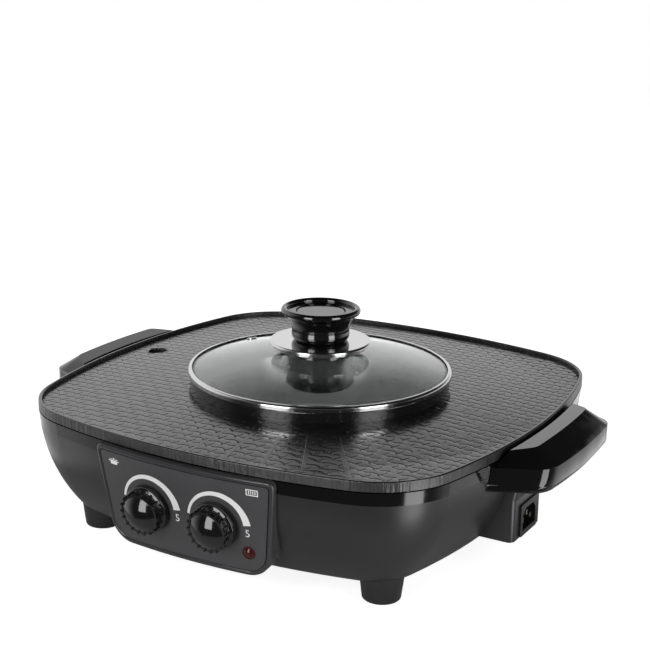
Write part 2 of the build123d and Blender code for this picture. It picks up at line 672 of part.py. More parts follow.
def make_lid_glass():
    """The shallow glass dome, with holes for the knob's screw and the steam vent."""
    edge = RING_RADIUS - RING_WALL - FIT_GAP
    blank = peg(Plane.XY, edge, POT_TOP + RING_WALL, GLASS_TOP + OVERRUN)
    glass = blank & (dome_ball(0) - dome_ball(GLASS_THICKNESS))
    glass -= peg(Plane.XY, SCREW_RADIUS + FIT_GAP, POT_TOP, GLASS_TOP + OVERRUN)
    return glass - peg(vent_plane(), VENT_HOLE_RADIUS + GROMMET_WALL, -2 * GLASS_THICKNESS, GLASS_THICKNESS)


def vent_plane():
    """The plane that touches the dome where the steam vent goes through it."""
    height = glass_height(sqrt(VENT_HOLE_X ** 2 + VENT_HOLE_Y ** 2))
    rise = height - GLASS_TOP + GLASS_DOME_RADIUS
    return Plane(origin=(VENT_HOLE_X, VENT_HOLE_Y, height), z_dir=(VENT_HOLE_X, VENT_HOLE_Y, rise))


def make_lid_ring():
    """The rolled steel channel round the glass: side wall, top lip and bottom lip."""
    inner = RING_RADIUS - RING_WALL
    return turned(
        (RING_RADIUS, POT_TOP, RING_WALL / 2),
        (RING_RADIUS, RING_TOP, RING_BEND),
        (RING_RADIUS - RING_TOP_LIP, RING_TOP, 0),
        (RING_RADIUS - RING_TOP_LIP, RING_TOP - RING_WALL, 0),
        (inner, RING_TOP - RING_WALL, RING_BEND - RING_WALL),
        (inner, POT_TOP + RING_WALL, 0),
        (RING_RADIUS - RING_BOTTOM_LIP, POT_TOP + RING_WALL, 0),
        (RING_RADIUS - RING_BOTTOM_LIP, POT_TOP, 0),
    )


def make_vent_grommet():
    """A steel eyelet that lines the steam vent."""
    place = vent_plane()
    outer = VENT_HOLE_RADIUS + GROMMET_WALL
    under = -GLASS_THICKNESS - GROMMET_GAP
    bottom = under - GROMMET_LIP
    eyelet = peg(place, GROMMET_RADIUS, 0, GROMMET_LIP) + peg(place, outer, bottom, 0)
    eyelet += peg(place, outer + GROMMET_WALL, bottom, under)
    return eyelet - peg(place, VENT_HOLE_RADIUS, bottom, GROMMET_LIP)


def make_lid_seat():
    """The black collar that spreads the knob's load on the glass."""
    foot = glass_height(SEAT_RADIUS)
    block = turned(
        (SCREW_RADIUS + FIT_GAP, foot - OVERRUN, 0),
        (SEAT_RADIUS, foot - OVERRUN, 0),
        (SEAT_RADIUS, SEAT_TOP, SEAT_EDGE_RADIUS),
        (SCREW_RADIUS + FIT_GAP, SEAT_TOP, 0),
    )
    return block - dome_ball(0)


def make_steam_disc():
    """The polished disc that keeps steam off the hand, its edge turned down."""
    bore = SCREW_RADIUS + FIT_GAP
    inner = STEAM_DISC_RADIUS - STEAM_DISC_THICKNESS
    return turned(
        (bore, SEAT_TOP, 0),
        (inner, SEAT_TOP, STEAM_DISC_BEND - STEAM_DISC_THICKNESS),
        (inner, DISC_TOP - STEAM_DISC_RIM, 0),
        (STEAM_DISC_RADIUS, DISC_TOP - STEAM_DISC_RIM, 0),
        (STEAM_DISC_RADIUS, DISC_TOP, STEAM_DISC_BEND),
        (bore, DISC_TOP, 0),
    )


def make_lid_knob():
    """The hollow knob: bulged foot, slim waist, flared head with a rolled lip, and its inner boss."""
    bead = KNOB_LIP / 2

    def lip(angle):
        turn = radians(angle)
        return (KNOB_RADIUS - bead + bead * cos(turn), 0, KNOB_TOP - bead + bead * sin(turn))

    corners = [
        lip(180),
        (KNOB_RADIUS - KNOB_LIP, 0, KNOB_TOP - KNOB_RECESS),
        (CAP_RADIUS + CAP_GROOVE, 0, KNOB_TOP - KNOB_RECESS),
        (CAP_RADIUS + CAP_GROOVE, 0, CAP_SEAT),
        (SCREW_RADIUS, 0, CAP_SEAT),
        (SCREW_RADIUS, 0, DISC_TOP),
        (STEM_FOOT_RADIUS, 0, DISC_TOP),
    ]
    stem = Spline(
        corners[-1],
        (STEM_BULGE_RADIUS, 0, STEM_BULGE_HEIGHT),
        (STEM_WAIST_RADIUS, 0, STEM_WAIST_HEIGHT),
        (STEM_NECK_RADIUS, 0, STEM_NECK_HEIGHT),
        lip(-KNOB_LIP_UNDERCUT),
    )
    rolled = ThreePointArc(lip(-KNOB_LIP_UNDERCUT), lip(90 - KNOB_LIP_UNDERCUT), lip(180))
    walls = [Line(*ends) for ends in zip(corners, corners[1:])]
    knob = revolve(Face(Wire([stem, rolled, *walls])), axis=Axis.Z)
    hollow_radius = STEM_FOOT_RADIUS - KNOB_WALL
    return knob - turned(
        (KNOB_BOSS_RADIUS, DISC_TOP - OVERRUN, 0),
        (hollow_radius, DISC_TOP - OVERRUN, 0),
        (hollow_radius, CAP_SEAT - KNOB_WALL, KNOB_WALL),
        (KNOB_BOSS_RADIUS, CAP_SEAT - KNOB_WALL, 0),
    )


def make_knob_cap():
    """The disc let into the knob's top recess."""
    top = CAP_SEAT + CAP_HEIGHT
    return turned((0, CAP_SEAT, 0), (CAP_RADIUS, CAP_SEAT, 0), (CAP_RADIUS, top, CAP_HEIGHT / 3), (0, top, 0))


def make_lid_screw():
    """The screw that holds glass, seat, disc and knob together from below."""
    under = glass_height(SCREW_HEAD_RADIUS, GLASS_THICKNESS)
    head = peg(Plane.XY, SCREW_HEAD_RADIUS, under - SCREW_HEAD_HEIGHT, under)
    return head + peg(Plane.XY, SCREW_RADIUS, under, CAP_SEAT - FIT_GAP)


def make_control_frame():
    """The glossy surround, bowed in front and cut to the bowl behind."""
    deep = -PANEL_DEPTH - OVERRUN
    frame = panel_block(0, -PANEL_DEPTH, OVERRUN) - panel_block(FRAME_WIDTH, deep, 2 * OVERRUN)
    lip = panel_block(FRAME_WIDTH / 2, -PANEL_DEPTH, OVERRUN)
    lip -= panel_block(FRAME_WIDTH + FRAME_LIP_WIDTH, deep, 2 * OVERRUN)
    lip &= panel_bow(PLATE_BACK) - panel_bow(PLATE_BACK - FRAME_LIP_THICKNESS)
    frame = (frame & panel_bow(0)) + lip
    frame = frame - bowl_solid() - slab(0, BAND_BOTTOM, HOUSING_TOP + PANEL_DEPTH)
    bow = frame.faces().filter_by(GeomType.CYLINDER).sort_by(SortBy.AREA)
    front = bow.filter_by(lambda face: abs(face.radius - PANEL_BOW_RADIUS) < FIT_GAP)
    return fillet(front.edges(), PANEL_EDGE_RADIUS)


def make_control_plate():
    """The satin face plate, bored for the shafts and the lamp, with posts for the bracket."""
    inset = FRAME_WIDTH + PANEL_PLATE_GAP
    sheet = panel_bow(PLATE_FRONT) - panel_bow(PLATE_BACK)
    plate = panel_block(inset, -PANEL_DEPTH, OVERRUN) & sheet
    for x, y in bracket_corners():
        plate += peg(FACE, POST_RADIUS, BRACKET_FRONT, PLATE_BACK - bow_drop(x) / 2, (x, y))
    for place in dial_places().values():
        plate -= peg(FACE, BUSHING_RADIUS + FIT_GAP, PLATE_BACK - PANEL_DEPTH / 2, OVERRUN, place)
    return plate - peg(LAMP_FACE, LAMP_RADIUS, -OVERRUN, OVERRUN)


def bow_drop(x):
    """How far the bowed face has dropped at a distance from its middle."""
    return PANEL_BOW_RADIUS - sqrt(PANEL_BOW_RADIUS ** 2 - x ** 2)


def bracket_corners():
    """Centres of the four posts that the thermostat bracket stands on."""
    x = DIAL_X + THERMOSTAT_WIDTH / 2
    rise = THERMOSTAT_HEIGHT / 2
    return [(sx * x, -DIAL_DROP + sy * rise) for sx in (-1, 1) for sy in (-1, 1)]


def make_bracket():
    """The steel strip that both thermostats hang on."""
    width = 2 * DIAL_X + THERMOSTAT_WIDTH + 2 * BRACKET_MARGIN
    height = THERMOSTAT_HEIGHT + 2 * BRACKET_MARGIN
    strip = FACE.offset(BRACKET_BACK) * Pos(0, -DIAL_DROP) * Rectangle(width, height)
    bracket = extrude(strip, amount=BRACKET_THICKNESS)
    for place in dial_places().values():
        bracket -= peg(FACE, BUSHING_RADIUS, BRACKET_BACK - OVERRUN, BRACKET_FRONT + OVERRUN, place)
    return bracket


def make_thermostat(place):
    """A thermostat: body behind the bracket, bushing through it and two tabs."""
    back = BRACKET_BACK - THERMOSTAT_DEPTH
    block = extrude(FACE.offset(back) * Pos(*place) * Rectangle(THERMOSTAT_WIDTH, THERMOSTAT_HEIGHT),
                    amount=THERMOSTAT_DEPTH)
    body = fillet(block.edges().filter_by(Axis(FACE.origin, FACE.z_dir)), THERMOSTAT_EDGE_RADIUS)
    body += peg(FACE, BUSHING_RADIUS, BRACKET_BACK, BRACKET_FRONT + BUSHING_PROUD, place)
    for side in (-1, 1):
        x = place[0] + side * THERMOSTAT_WIDTH / 4
        tab = FACE.offset(back - TAB_LENGTH) * Pos(x, place[1]) * Rectangle(TAB_WIDTH, TAB_THICKNESS)
        body += extrude(tab, amount=TAB_LENGTH)
    bore = SHAFT_RADIUS + SHAFT_RUNNING_GAP
    return body - peg(FACE, bore, SHAFT_BACK - SHAFT_RUNNING_GAP, BRACKET_FRONT + 2 * BUSHING_PROUD, place)


def make_shaft(place):
    """The thermostat's shaft, from inside its bushing to inside the knob."""
    return peg(FACE, SHAFT_RADIUS, SHAFT_BACK, DIAL_BACK + DIAL_HEIGHT - DIAL_WALL, place)


def make_dial(place):
    """A control knob: broad skirt, ribbed grip and domed face, hollow behind round its hub."""
    face = DIAL_HEIGHT
    outer = turned(
        (0, 0, 0),
        (DIAL_RADIUS, 0, 0),
        (DIAL_RADIUS, DIAL_SKIRT_HEIGHT, DIAL_SKIRT_EDGE),
        (DIAL_GRIP_RADIUS, DIAL_SKIRT_HEIGHT + DIAL_SKIRT_EDGE, DIAL_SKIRT_EDGE / 2),
        (DIAL_GRIP_RADIUS, face, 0),
        (DIAL_FACE_RADIUS, face, 0),
        (0, face, 0),
    )
    dome_radius = (DIAL_FACE_RADIUS ** 2 + DIAL_DOME ** 2) / (2 * DIAL_DOME)
    ball = Pos(0, 0, face + DIAL_DOME - dome_radius) * Sphere(dome_radius)
    dome = ball & peg(Plane.XY, DIAL_FACE_RADIUS, face - DIAL_DOME / 2, face + 2 * DIAL_DOME)
    rib_centre = DIAL_RIB_RADIUS - DIAL_RIB_WIDTH / 2
    rib = peg(Plane.XY, DIAL_RIB_WIDTH / 2, DIAL_SKIRT_HEIGHT / 2, face + DIAL_RIB_PROUD, (rib_centre, 0))
    ribs = [Rot(Z=turn * 360 / DIAL_RIB_COUNT) * rib for turn in range(DIAL_RIB_COUNT)]
    hollow = turned(
        (SHAFT_RADIUS + SHAFT_HUB_WALL, -OVERRUN, 0),
        (DIAL_FACE_RADIUS - DIAL_WALL, -OVERRUN, 0),
        (DIAL_FACE_RADIUS - DIAL_WALL, face - DIAL_WALL, DIAL_WALL),
        (SHAFT_RADIUS + SHAFT_HUB_WALL, face - DIAL_WALL, 0),
    )
    knob = outer + dome + ribs - hollow - peg(Plane.XY, SHAFT_RADIUS, -OVERRUN, face - DIAL_WALL)
    return FACE.offset(DIAL_BACK) * Pos(*place) * knob


def make_pilot_lens():
    """The lamp's domed window, pressed in from the front."""
    flange = peg(LAMP_FACE, LAMP_RADIUS + LAMP_FLANGE, 0, LAMP_FLANGE / 2)
    stem = peg(LAMP_FACE, LAMP_RADIUS, -PANEL_PLATE_THICKNESS - 2 * LAMP_FLANGE, 0)
    radius = (LAMP_RADIUS ** 2 + LAMP_DOME ** 2) / (2 * LAMP_DOME)
    ball = LAMP_FACE * Pos(0, 0, LAMP_FLANGE / 2 + LAMP_DOME - radius) * Sphere(radius)
    return flange + stem + (ball & peg(LAMP_FACE, LAMP_RADIUS, 0, radius))


def make_lamp_holder():
    """The sleeve behind the window that holds the lamp."""
    back = -PANEL_PLATE_THICKNESS - LAMP_HOLDER_LENGTH
    outer = LAMP_RADIUS + LAMP_HOLDER_WALL
    sleeve = peg(LAMP_FACE, outer, back, -PANEL_PLATE_THICKNESS - PANEL_PLATE_GAP)
    return sleeve - peg(LAMP_FACE, LAMP_RADIUS, back + LAMP_HOLDER_WALL, 0)


def make_inlet_socket():
    """The power socket: bezel on the boss, and a body with two chamfered upper corners inside it."""
    bezel = extrude(INLET * RectangleRounded(BEZEL_WIDTH, BEZEL_HEIGHT, BEZEL_CORNER_RADIUS),
                    amount=BEZEL_THICKNESS)
    depth = CAVITY_DEPTH + SOCKET_WALL
    body = extrude(INLET.offset(BEZEL_THICKNESS - depth) * cavity_face(SOCKET_WALL), amount=depth)
    floor = INLET.offset(BEZEL_THICKNESS - CAVITY_DEPTH)
    cavity = extrude(floor * cavity_face(0), amount=CAVITY_DEPTH + OVERRUN)
    return bezel + body - cavity - pin_blades(FIT_GAP / 10)


def cavity_face(wall):
    """The socket's cavity, grown by wall, with its two upper corners cut off."""
    half_width = CAVITY_WIDTH / 2 + wall
    half_height = CAVITY_HEIGHT / 2 + wall
    chamfer = CAVITY_CHAMFER + wall / 2
    return make_face(Polyline(
        (-half_width, -half_height),
        (half_width, -half_height),
        (half_width, half_height - chamfer),
        (half_width - chamfer, half_height),
        (chamfer - half_width, half_height),
        (-half_width, half_height - chamfer),
        close=True,
    ))


def pin_blades(growth=0):
    """The three contact blades, standing out from behind the socket's floor."""
    tip = BEZEL_THICKNESS - PIN_SETBACK
    places = [(0, EARTH_RISE), (-PIN_SPACING, -LINE_DROP), (PIN_SPACING, -LINE_DROP)]
    blade = Rectangle(PIN_WIDTH + 2 * growth, PIN_HEIGHT + 2 * growth)
    tail = INLET.offset(tip - PIN_LENGTH)
    return Part() + [extrude(tail * Pos(*place) * blade, amount=PIN_LENGTH) for place in places]


def handle_face(inner_x, inner_half, outer_x, outer_half, corner_radius, level):
    """The right handle's plan at a level: two bowed sides, slanted ends, rounded outer corners."""
    def drop(half):
        return HANDLE_BOW_RADIUS - sqrt(HANDLE_BOW_RADIUS ** 2 - half ** 2)

    inner = inner_x - drop(inner_half)
    outer = outer_x - drop(outer_half)
    face = Face(Wire([
        ThreePointArc((inner, -inner_half, level), (inner_x, 0, level), (inner, inner_half, level)),
        Line((inner, inner_half, level), (outer, outer_half, level)),
        ThreePointArc((outer, outer_half, level), (outer_x, 0, level), (outer, -outer_half, level)),
        Line((outer, -outer_half, level), (inner, -inner_half, level)),
    ]))
    return fillet(face.vertices().sort_by(Axis.X)[-2:], corner_radius) if corner_radius else face


def grip_pocket():
    """The space under the right handle that fingers reach into from below."""
    face = handle_face(GRIP_INNER_X, GRIP_HALF, GRIP_OUTER_X, GRIP_HALF, 0, HANDLE_BOTTOM - OVERRUN)
    pocket = extrude(face, amount=GRIP_CEILING - HANDLE_BOTTOM + OVERRUN, dir=(0, 0, 1))
    pocket = fillet(pocket.edges().filter_by(Axis.Z), GRIP_CORNER_RADIUS)
    return fillet(pocket.edges().group_by(Axis.Z)[-1], GRIP_EDGE_RADIUS)


def lug_pocket():
    """The space that the right side's two lugs fill inside the handle."""
    gap = FIT_GAP
    width = LUG_WIDTH + 2 * gap
    reach = LUG_REACH_X - LUG_ROOT_X + gap
    return Part() + [
        Pos(LUG_ROOT_X + reach / 2, end * HANDLE_SCREW_Y, HANDLE_SEAM)
        * Box(reach, width, LUG_THICKNESS + 2 * gap)
        for end in (-1, 1)
    ]


def handle_screw_shanks(radius):
    """The upright screws of the right handle, heads sunk in its lower half."""
    neck = HANDLE_BOTTOM + HANDLE_SCREW_SINK
    shanks = []
    for y in (-HANDLE_SCREW_Y, HANDLE_SCREW_Y):
        place = (HANDLE_SCREW_X, y)
        shanks.append(peg(Plane.XY, radius, neck, HANDLE_BOTTOM + HANDLE_SCREW_LENGTH, place))
        shanks.append(peg(Plane.XY, HANDLE_SCREW_HEAD_RADIUS, neck - HANDLE_SCREW_HEAD_HEIGHT, neck, place))
    return Part() + shanks


def make_handle_cover():
    """The upper half of the right handle: an upright band under a bevelled cap with a sloping top."""
    low = handle_face(HANDLE_ROOT_X, HANDLE_ROOT_HALF, HANDLE_REACH, HANDLE_END_HALF, HANDLE_CORNER_RADIUS,
                      HANDLE_SEAM)
    band = extrude(low, amount=HANDLE_CREASE - HANDLE_SEAM, dir=(0, 0, 1))
    cap = loft([
        handle_face(CAP_INNER_X, CAP_INNER_HALF, HANDLE_REACH, HANDLE_END_HALF, HANDLE_CORNER_RADIUS,
                    HANDLE_CREASE),
        handle_face(CAP_TOP_INNER_X, CAP_TOP_INNER_HALF, CAP_TOP_OUTER_X, CAP_TOP_OUTER_HALF,
                    CAP_TOP_CORNER_RADIUS, HANDLE_TOP),
    ])
    top = Plane(
        origin=(CAP_TOP_OUTER_X, 0, HANDLE_TOP),
        z_dir=(-sin(radians(HANDLE_TOP_TILT)), 0, cos(radians(HANDLE_TOP_TILT))),
    )
    cover = band + split(cap, bisect_by=top, keep=Keep.BOTTOM) - bowl_solid()
    return cover - grip_pocket() - lug_pocket() - handle_screw_shanks(HANDLE_SCREW_RADIUS)


def make_handle_base():
    """The lower half of the right handle, drawn in at its bottom and open where the fingers go."""
    block = loft([
        handle_face(HANDLE_ROOT_X, HANDLE_ROOT_HALF, HANDLE_REACH - HANDLE_LOWER_DRAFT, HANDLE_END_HALF,
                    HANDLE_CORNER_RADIUS, HANDLE_BOTTOM),
        handle_face(HANDLE_ROOT_X, HANDLE_ROOT_HALF, HANDLE_REACH, HANDLE_END_HALF, HANDLE_CORNER_RADIUS,
                    HANDLE_SEAM),
    ])
    sink = Part() + [
        peg(Plane.XY, HANDLE_SCREW_HEAD_RADIUS + FIT_GAP, HANDLE_BOTTOM - OVERRUN,
            HANDLE_BOTTOM + HANDLE_SCREW_SINK, (HANDLE_SCREW_X, y))
        for y in (-HANDLE_SCREW_Y, HANDLE_SCREW_Y)
    ]
    base = block - bowl_solid() - grip_pocket() - lug_pocket()
    return base - sink - handle_screw_shanks(HANDLE_SCREW_RADIUS)


def make_liner():
    """The pressed steel liner: rim on the housing's ledge, sloping wall, floor and deep round well."""
    t = LINER_THICKNESS
    rim_top = LEDGE_TOP + t
    rim_edge = -HOUSING_WALL - BAND_DRAFT - LINER_RIM_GAP
    rim = outline_ring(
        (rim_edge, LEDGE_TOP),
        (-LINER_WALL_INSET - t, LEDGE_TOP),
        (-LINER_WALL_INSET - t, rim_top),
        (rim_edge, rim_top),
    )
    outer = frustum(LINER_FLOOR_INSET, LINER_FLOOR - t, LINER_WALL_INSET, rim_top)
    inner = frustum(LINER_FLOOR_INSET + t, LINER_FLOOR, LINER_WALL_INSET + t, rim_top + FIT_GAP)
    well_outer = lathe((0, WELL_FLOOR - t), (WELL_FLOOR_RADIUS + t, WELL_FLOOR - t),
                       (WELL_MOUTH_RADIUS + t, LINER_FLOOR - t / 2), (0, LINER_FLOOR - t / 2))
    well_inner = lathe((0, WELL_FLOOR), (WELL_FLOOR_RADIUS, WELL_FLOOR), (WELL_MOUTH_RADIUS, LINER_FLOOR),
                       (0, LINER_FLOOR))
    liner = rim + outer + well_outer - inner - well_inner
    drain_hole = DRAIN_RADIUS + SPOUT_WALL + DRAIN_HOLE_GAP
    liner -= peg(Plane.XY, drain_hole, LINER_FLOOR - OVERRUN, LINER_FLOOR + OVERRUN, (DRAIN_X, DRAIN_Y))
    for x, y, floor in heater_legs():
        liner -= peg(Plane.XY, BUSH_RADIUS, floor - OVERRUN, floor + OVERRUN, (x, y))
    return liner


def heater_level(casting_bottom):
    """Height of a heater's middle under a casting."""
    return casting_bottom - HEATER_PLATE_GAP - HEATER_RADIUS


def heater_legs():
    """Where the four heater legs go down, and the liner floor that each passes."""
    leg = HEATER_LEG_GAP / 2
    return [
        (side * leg, half, floor)
        for half, floor in ((GRILL_HEATER_HALF, LINER_FLOOR), (POT_HEATER_HALF, WELL_FLOOR))
        for side in (-1, 1)
    ]


def make_heater(half, corner, level, floor):
    """A tubular heater: a rounded square loop whose two ends turn down at the back."""
    leg = HEATER_LEG_GAP / 2
    back_corner = min(corner, half - leg - 2 * HEATER_LEG_BEND)
    foot = floor - HEATER_LEG_DROP
    path = FilletPolyline(
        (-leg, half, foot), (-leg, half, level), (-half, half, level), (-half, -half, level),
        (half, -half, level), (half, half, level), (leg, half, level), (leg, half, foot),
        radius=[HEATER_LEG_BEND, back_corner, corner, corner, back_corner, HEATER_LEG_BEND],
    )
    return sweep(Plane(origin=path @ 0, z_dir=path % 0) * Circle(HEATER_RADIUS), path=path)


def make_heater_bushes():
    """The ceramic bushes that carry the heater legs through the liner."""
    bushes = []
    for x, y, floor in heater_legs():
        low = floor + BUSH_RISE - BUSH_HEIGHT
        bush = peg(Plane.XY, BUSH_RADIUS, low, low + BUSH_HEIGHT, (x, y))
        bushes.append(bush - peg(Plane.XY, HEATER_RADIUS, low, low + BUSH_HEIGHT, (x, y)))
    return Part() + bushes


def make_heater_clips():
    """Steel cradles that stand on the liner and carry the two loops."""
    clips = []
    rows = [
        (GRILL_HEATER_HALF, CLIP_GRILL_REACH, LINER_FLOOR, heater_level(PLATE_BOTTOM)),
        (POT_HEATER_HALF, 0, WELL_FLOOR, heater_level(POT_BOTTOM)),
    ]
    for half, reach, floor, level in rows:
        for side in (-1, 1):
            for end in (-1, 1) if reach else (1,):
                blank = box((side * half - CLIP_WIDTH / 2, end * reach - CLIP_THICKNESS / 2, floor),
                            (side * half + CLIP_WIDTH / 2, end * reach + CLIP_THICKNESS / 2, level))
                seat = Plane(origin=(side * half, end * reach, level), z_dir=(0, 1, 0))
                clips.append(blank - peg(seat, HEATER_RADIUS, -CLIP_WIDTH, CLIP_WIDTH))
    return Part() + clips


def make_drawer_guide():
    """The open-topped channel under the liner that the grease drawer runs in."""
    gap = DRAWER_GAP
    t = GUIDE_THICKNESS
    low_y = DRAIN_Y - DRAWER_WIDTH / 2 - gap
    high_y = DRAIN_Y + DRAWER_WIDTH / 2 + gap
    floor = DRAWER_BOTTOM - gap / 2
    top = LINER_FLOOR - LINER_THICKNESS
    end = DRAWER_INNER_X + gap
    channel = box((GUIDE_MOUTH_X, low_y - t, floor - t), (end + t, high_y + t, top))
    channel -= box((GUIDE_MOUTH_X - OVERRUN, low_y, floor), (end, high_y, top + OVERRUN))
    for low, high in ((low_y - t - GUIDE_FLANGE, low_y - t / 2), (high_y + t / 2, high_y + t + GUIDE_FLANGE)):
        channel += box((GUIDE_MOUTH_X, low, top - t), (end + t, high, top))
    return channel


def make_drawer():
    """The grease drawer, with a front that carries on the bowl's curve and a pull along its foot."""
    low_y = DRAIN_Y - DRAWER_WIDTH / 2
    high_y = DRAIN_Y + DRAWER_WIDTH / 2
    wall = DRAWER_WALL
    block = box((-PAN_HALF, low_y, DRAWER_BOTTOM), (DRAWER_INNER_X, high_y, DRAWER_TOP))
    inside = box((-PAN_HALF, low_y + wall, DRAWER_BOTTOM + wall),
                 (DRAWER_INNER_X - wall, high_y - wall, DRAWER_TOP + OVERRUN))
    tray = (block & bowl_solid()) - (inside & bowl_solid(DRAWER_FRONT_THICKNESS))
    start = -PAN_HALF + bowl_inset(DRAWER_BOTTOM)
    pull = box((start - DRAWER_PULL_REACH, DRAIN_Y - DRAWER_PULL_WIDTH / 2, DRAWER_BOTTOM),
               (start + wall, DRAIN_Y + DRAWER_PULL_WIDTH / 2, DRAWER_BOTTOM + DRAWER_PULL_THICKNESS))
    corners = pull.edges().filter_by(Axis.Z).group_by(Axis.X)[0]
    return tray + fillet(corners, DRAWER_PULL_REACH / 2)


def make_cover_screws():
    """The screws that hold the bottom cover, heads down."""
    low = HOUSING_BOTTOM - COVER_THICKNESS
    screws = []
    for x, y in cover_screw_places():
        head = peg(Plane.XY, COVER_SCREW_HEAD_RADIUS, low - COVER_SCREW_HEAD_HEIGHT, low, (x, y))
        head = fillet(head.edges().group_by(Axis.Z)[0], COVER_SCREW_HEAD_HEIGHT / 2)
        screws.append(head + peg(Plane.XY, COVER_SCREW_RADIUS, low, low + COVER_SCREW_LENGTH, (x, y)))
    return Part() + screws


def build():
    """Every piece by name, about the pot's axis."""
    under_plate = heater_level(PLATE_BOTTOM)
    under_pot = heater_level(POT_BOTTOM)
    pieces = {
        "housing": make_housing(),
        "bottom_cover": make_bottom_cover(),
        "cover_screws": make_cover_screws(),
        "liner": make_liner(),
        "grill_heater": make_heater(GRILL_HEATER_HALF, GRILL_HEATER_CORNER, under_plate, LINER_FLOOR),
        "pot_heater": make_heater(POT_HEATER_HALF, POT_HEATER_CORNER, under_pot, WELL_FLOOR),
        "heater_bushes": make_heater_bushes(),
        "heater_clips": make_heater_clips(),
        "drawer_guide": make_drawer_guide(),
        "grease_drawer": make_drawer(),
        "control_frame": make_control_frame(),
        "control_plate": make_control_plate(),
        "thermostat_bracket": make_bracket(),
        "pilot_lens": make_pilot_lens(),
        "lamp_holder": make_lamp_holder(),
        "inlet_socket": make_inlet_socket(),
        "inlet_pins": pin_blades(),
        "grill_pan": make_pan(),
        "lid_ring": make_lid_ring(),
        "lid_glass": make_lid_glass(),
        "vent_grommet": make_vent_grommet(),
        "lid_seat": make_lid_seat(),
        "steam_disc": make_steam_disc(),
        "lid_knob": make_lid_knob(),
        "knob_cap": make_knob_cap(),
        "lid_screw": make_lid_screw(),
    }
    for name, place in dial_places().items():
        pieces[name + "_thermostat"] = make_thermostat(place)
        pieces[name + "_shaft"] = make_shaft(place)
        pieces[name + "_dial"] = make_dial(place)
    for part, maker in (("cover", make_handle_cover), ("base", make_handle_base)):
        pieces["right_handle_" + part], pieces["left_handle_" + part] = both_ways(maker())
    right, left = both_ways(handle_screw_shanks(HANDLE_SCREW_RADIUS))
    pieces["handle_screws"] = Part() + [right, left]
    for y, end in ((-FOOT_Y, "front"), (FOOT_Y, "back")):
        for x, side in ((-FOOT_X, "left"), (FOOT_X, "right")):
            pieces[f"{end}_{side}_foot"] = make_foot(x, y)
            pieces[f"{end}_{side}_pad"] = make_pad(x, y)
    return pieces


os.makedirs("parts", exist_ok=True)
pieces = build()
whole = Compound(list(pieces.values())).bounding_box()
centre = Pos(-whole.center().X, -whole.center().Y, -whole.min.Z)
for name, piece in pieces.items():
    export_step(centre * piece, f"parts/{name}.step")
print("pieces", len(pieces), "size", whole.size, "moved by", centre.position)
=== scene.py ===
"""Looks of a table-top hot pot and grill: its finishes, woven emboss, printing and studio."""

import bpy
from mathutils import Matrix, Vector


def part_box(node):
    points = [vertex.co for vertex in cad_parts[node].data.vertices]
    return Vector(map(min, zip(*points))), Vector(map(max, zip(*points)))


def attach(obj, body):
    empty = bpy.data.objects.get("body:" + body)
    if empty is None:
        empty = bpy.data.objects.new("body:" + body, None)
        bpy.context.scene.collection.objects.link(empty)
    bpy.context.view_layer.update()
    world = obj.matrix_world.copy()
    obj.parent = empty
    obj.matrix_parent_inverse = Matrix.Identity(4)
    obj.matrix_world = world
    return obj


bl_info = {
    "name": "Hot pot grill combo",
    "version": (1, 0, 0),
    "blender": (4, 5, 0),
    "location": "View3D > Sidebar > Cooker",
    "description": "Finishes and lights a table-top hot pot and grill",
    "category": "Object",
}

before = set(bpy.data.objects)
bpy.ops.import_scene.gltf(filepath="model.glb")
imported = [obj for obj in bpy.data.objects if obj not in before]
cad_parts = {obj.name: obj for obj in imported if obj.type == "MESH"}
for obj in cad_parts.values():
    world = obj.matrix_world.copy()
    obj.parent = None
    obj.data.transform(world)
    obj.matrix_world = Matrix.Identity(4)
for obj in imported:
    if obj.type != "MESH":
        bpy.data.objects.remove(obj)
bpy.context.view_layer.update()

import math

import bmesh
import bpy
from bpy.props import FloatProperty, IntProperty, PointerProperty, StringProperty
from mathutils import Matrix, Vector

MM = 0.001

# The pot's axis and the casting's half width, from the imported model
GLASS_LOW, GLASS_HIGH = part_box("lid_glass")
AXIS_Y = (GLASS_LOW.y + GLASS_HIGH.y) / 2
PAN_LOW, PAN_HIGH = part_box("grill_pan")
PAN_HALF = (PAN_HIGH.x - PAN_LOW.x) / 2

# The casting's outline: four bowed sides and four rounded corners
SIDE_RADIUS = 525 * MM
CORNER_RADIUS = 69 * MM

# The grill plate: its height, where its cone starts and ends, and the edges of the rim and the drain
PLATE_TOP = 103.2 * MM
CONE_FOOT = 184 * MM
COLLAR_EDGE = 102.4 * MM
RIM_INSET = 2.7 * MM
DRAIN_X = -164.3 * MM
DRAIN_Y = 4.6 * MM
DRAIN_EDGE = 8.1 * MM

# The emboss: a groove's lip as a share of its width, extra lines across a tile as shares of it, how far
# grooves are cut as shares of their length, and how the skin ends at the plate's edges
LIP_SHARE = 0.8
TILE_LINES = (0.37, 0.64)
TICK_END = 0.08
ARC_REACH = 1.02
TICK_REACH = 1.01
EDGE_FADE = 1.2 * MM
SAME_POINT = 0.02 * MM
SKIN_SINK = 0.1 * MM

# A plain band: its cross section as shares of its half width with drops, and its place on the skin
BAND_SECTION = ((-1.0, 0.5 * MM), (-1.0, 0.06 * MM), (-0.8, 0), (0.8, 0), (1.0, 0.06 * MM), (1.0, 0.5 * MM))
BAND_LIFT = 0.02 * MM
BAND_START = 2 * MM
BAND_STRIDE = 1 * MM

# The panel: the top of its surround on the middle line, and how deep the face plate lies in it
PANEL_TOP_Y = AXIS_Y - 195 * MM
PANEL_TOP_Z = 98.5 * MM
PLATE_RECESS = 0.5 * MM

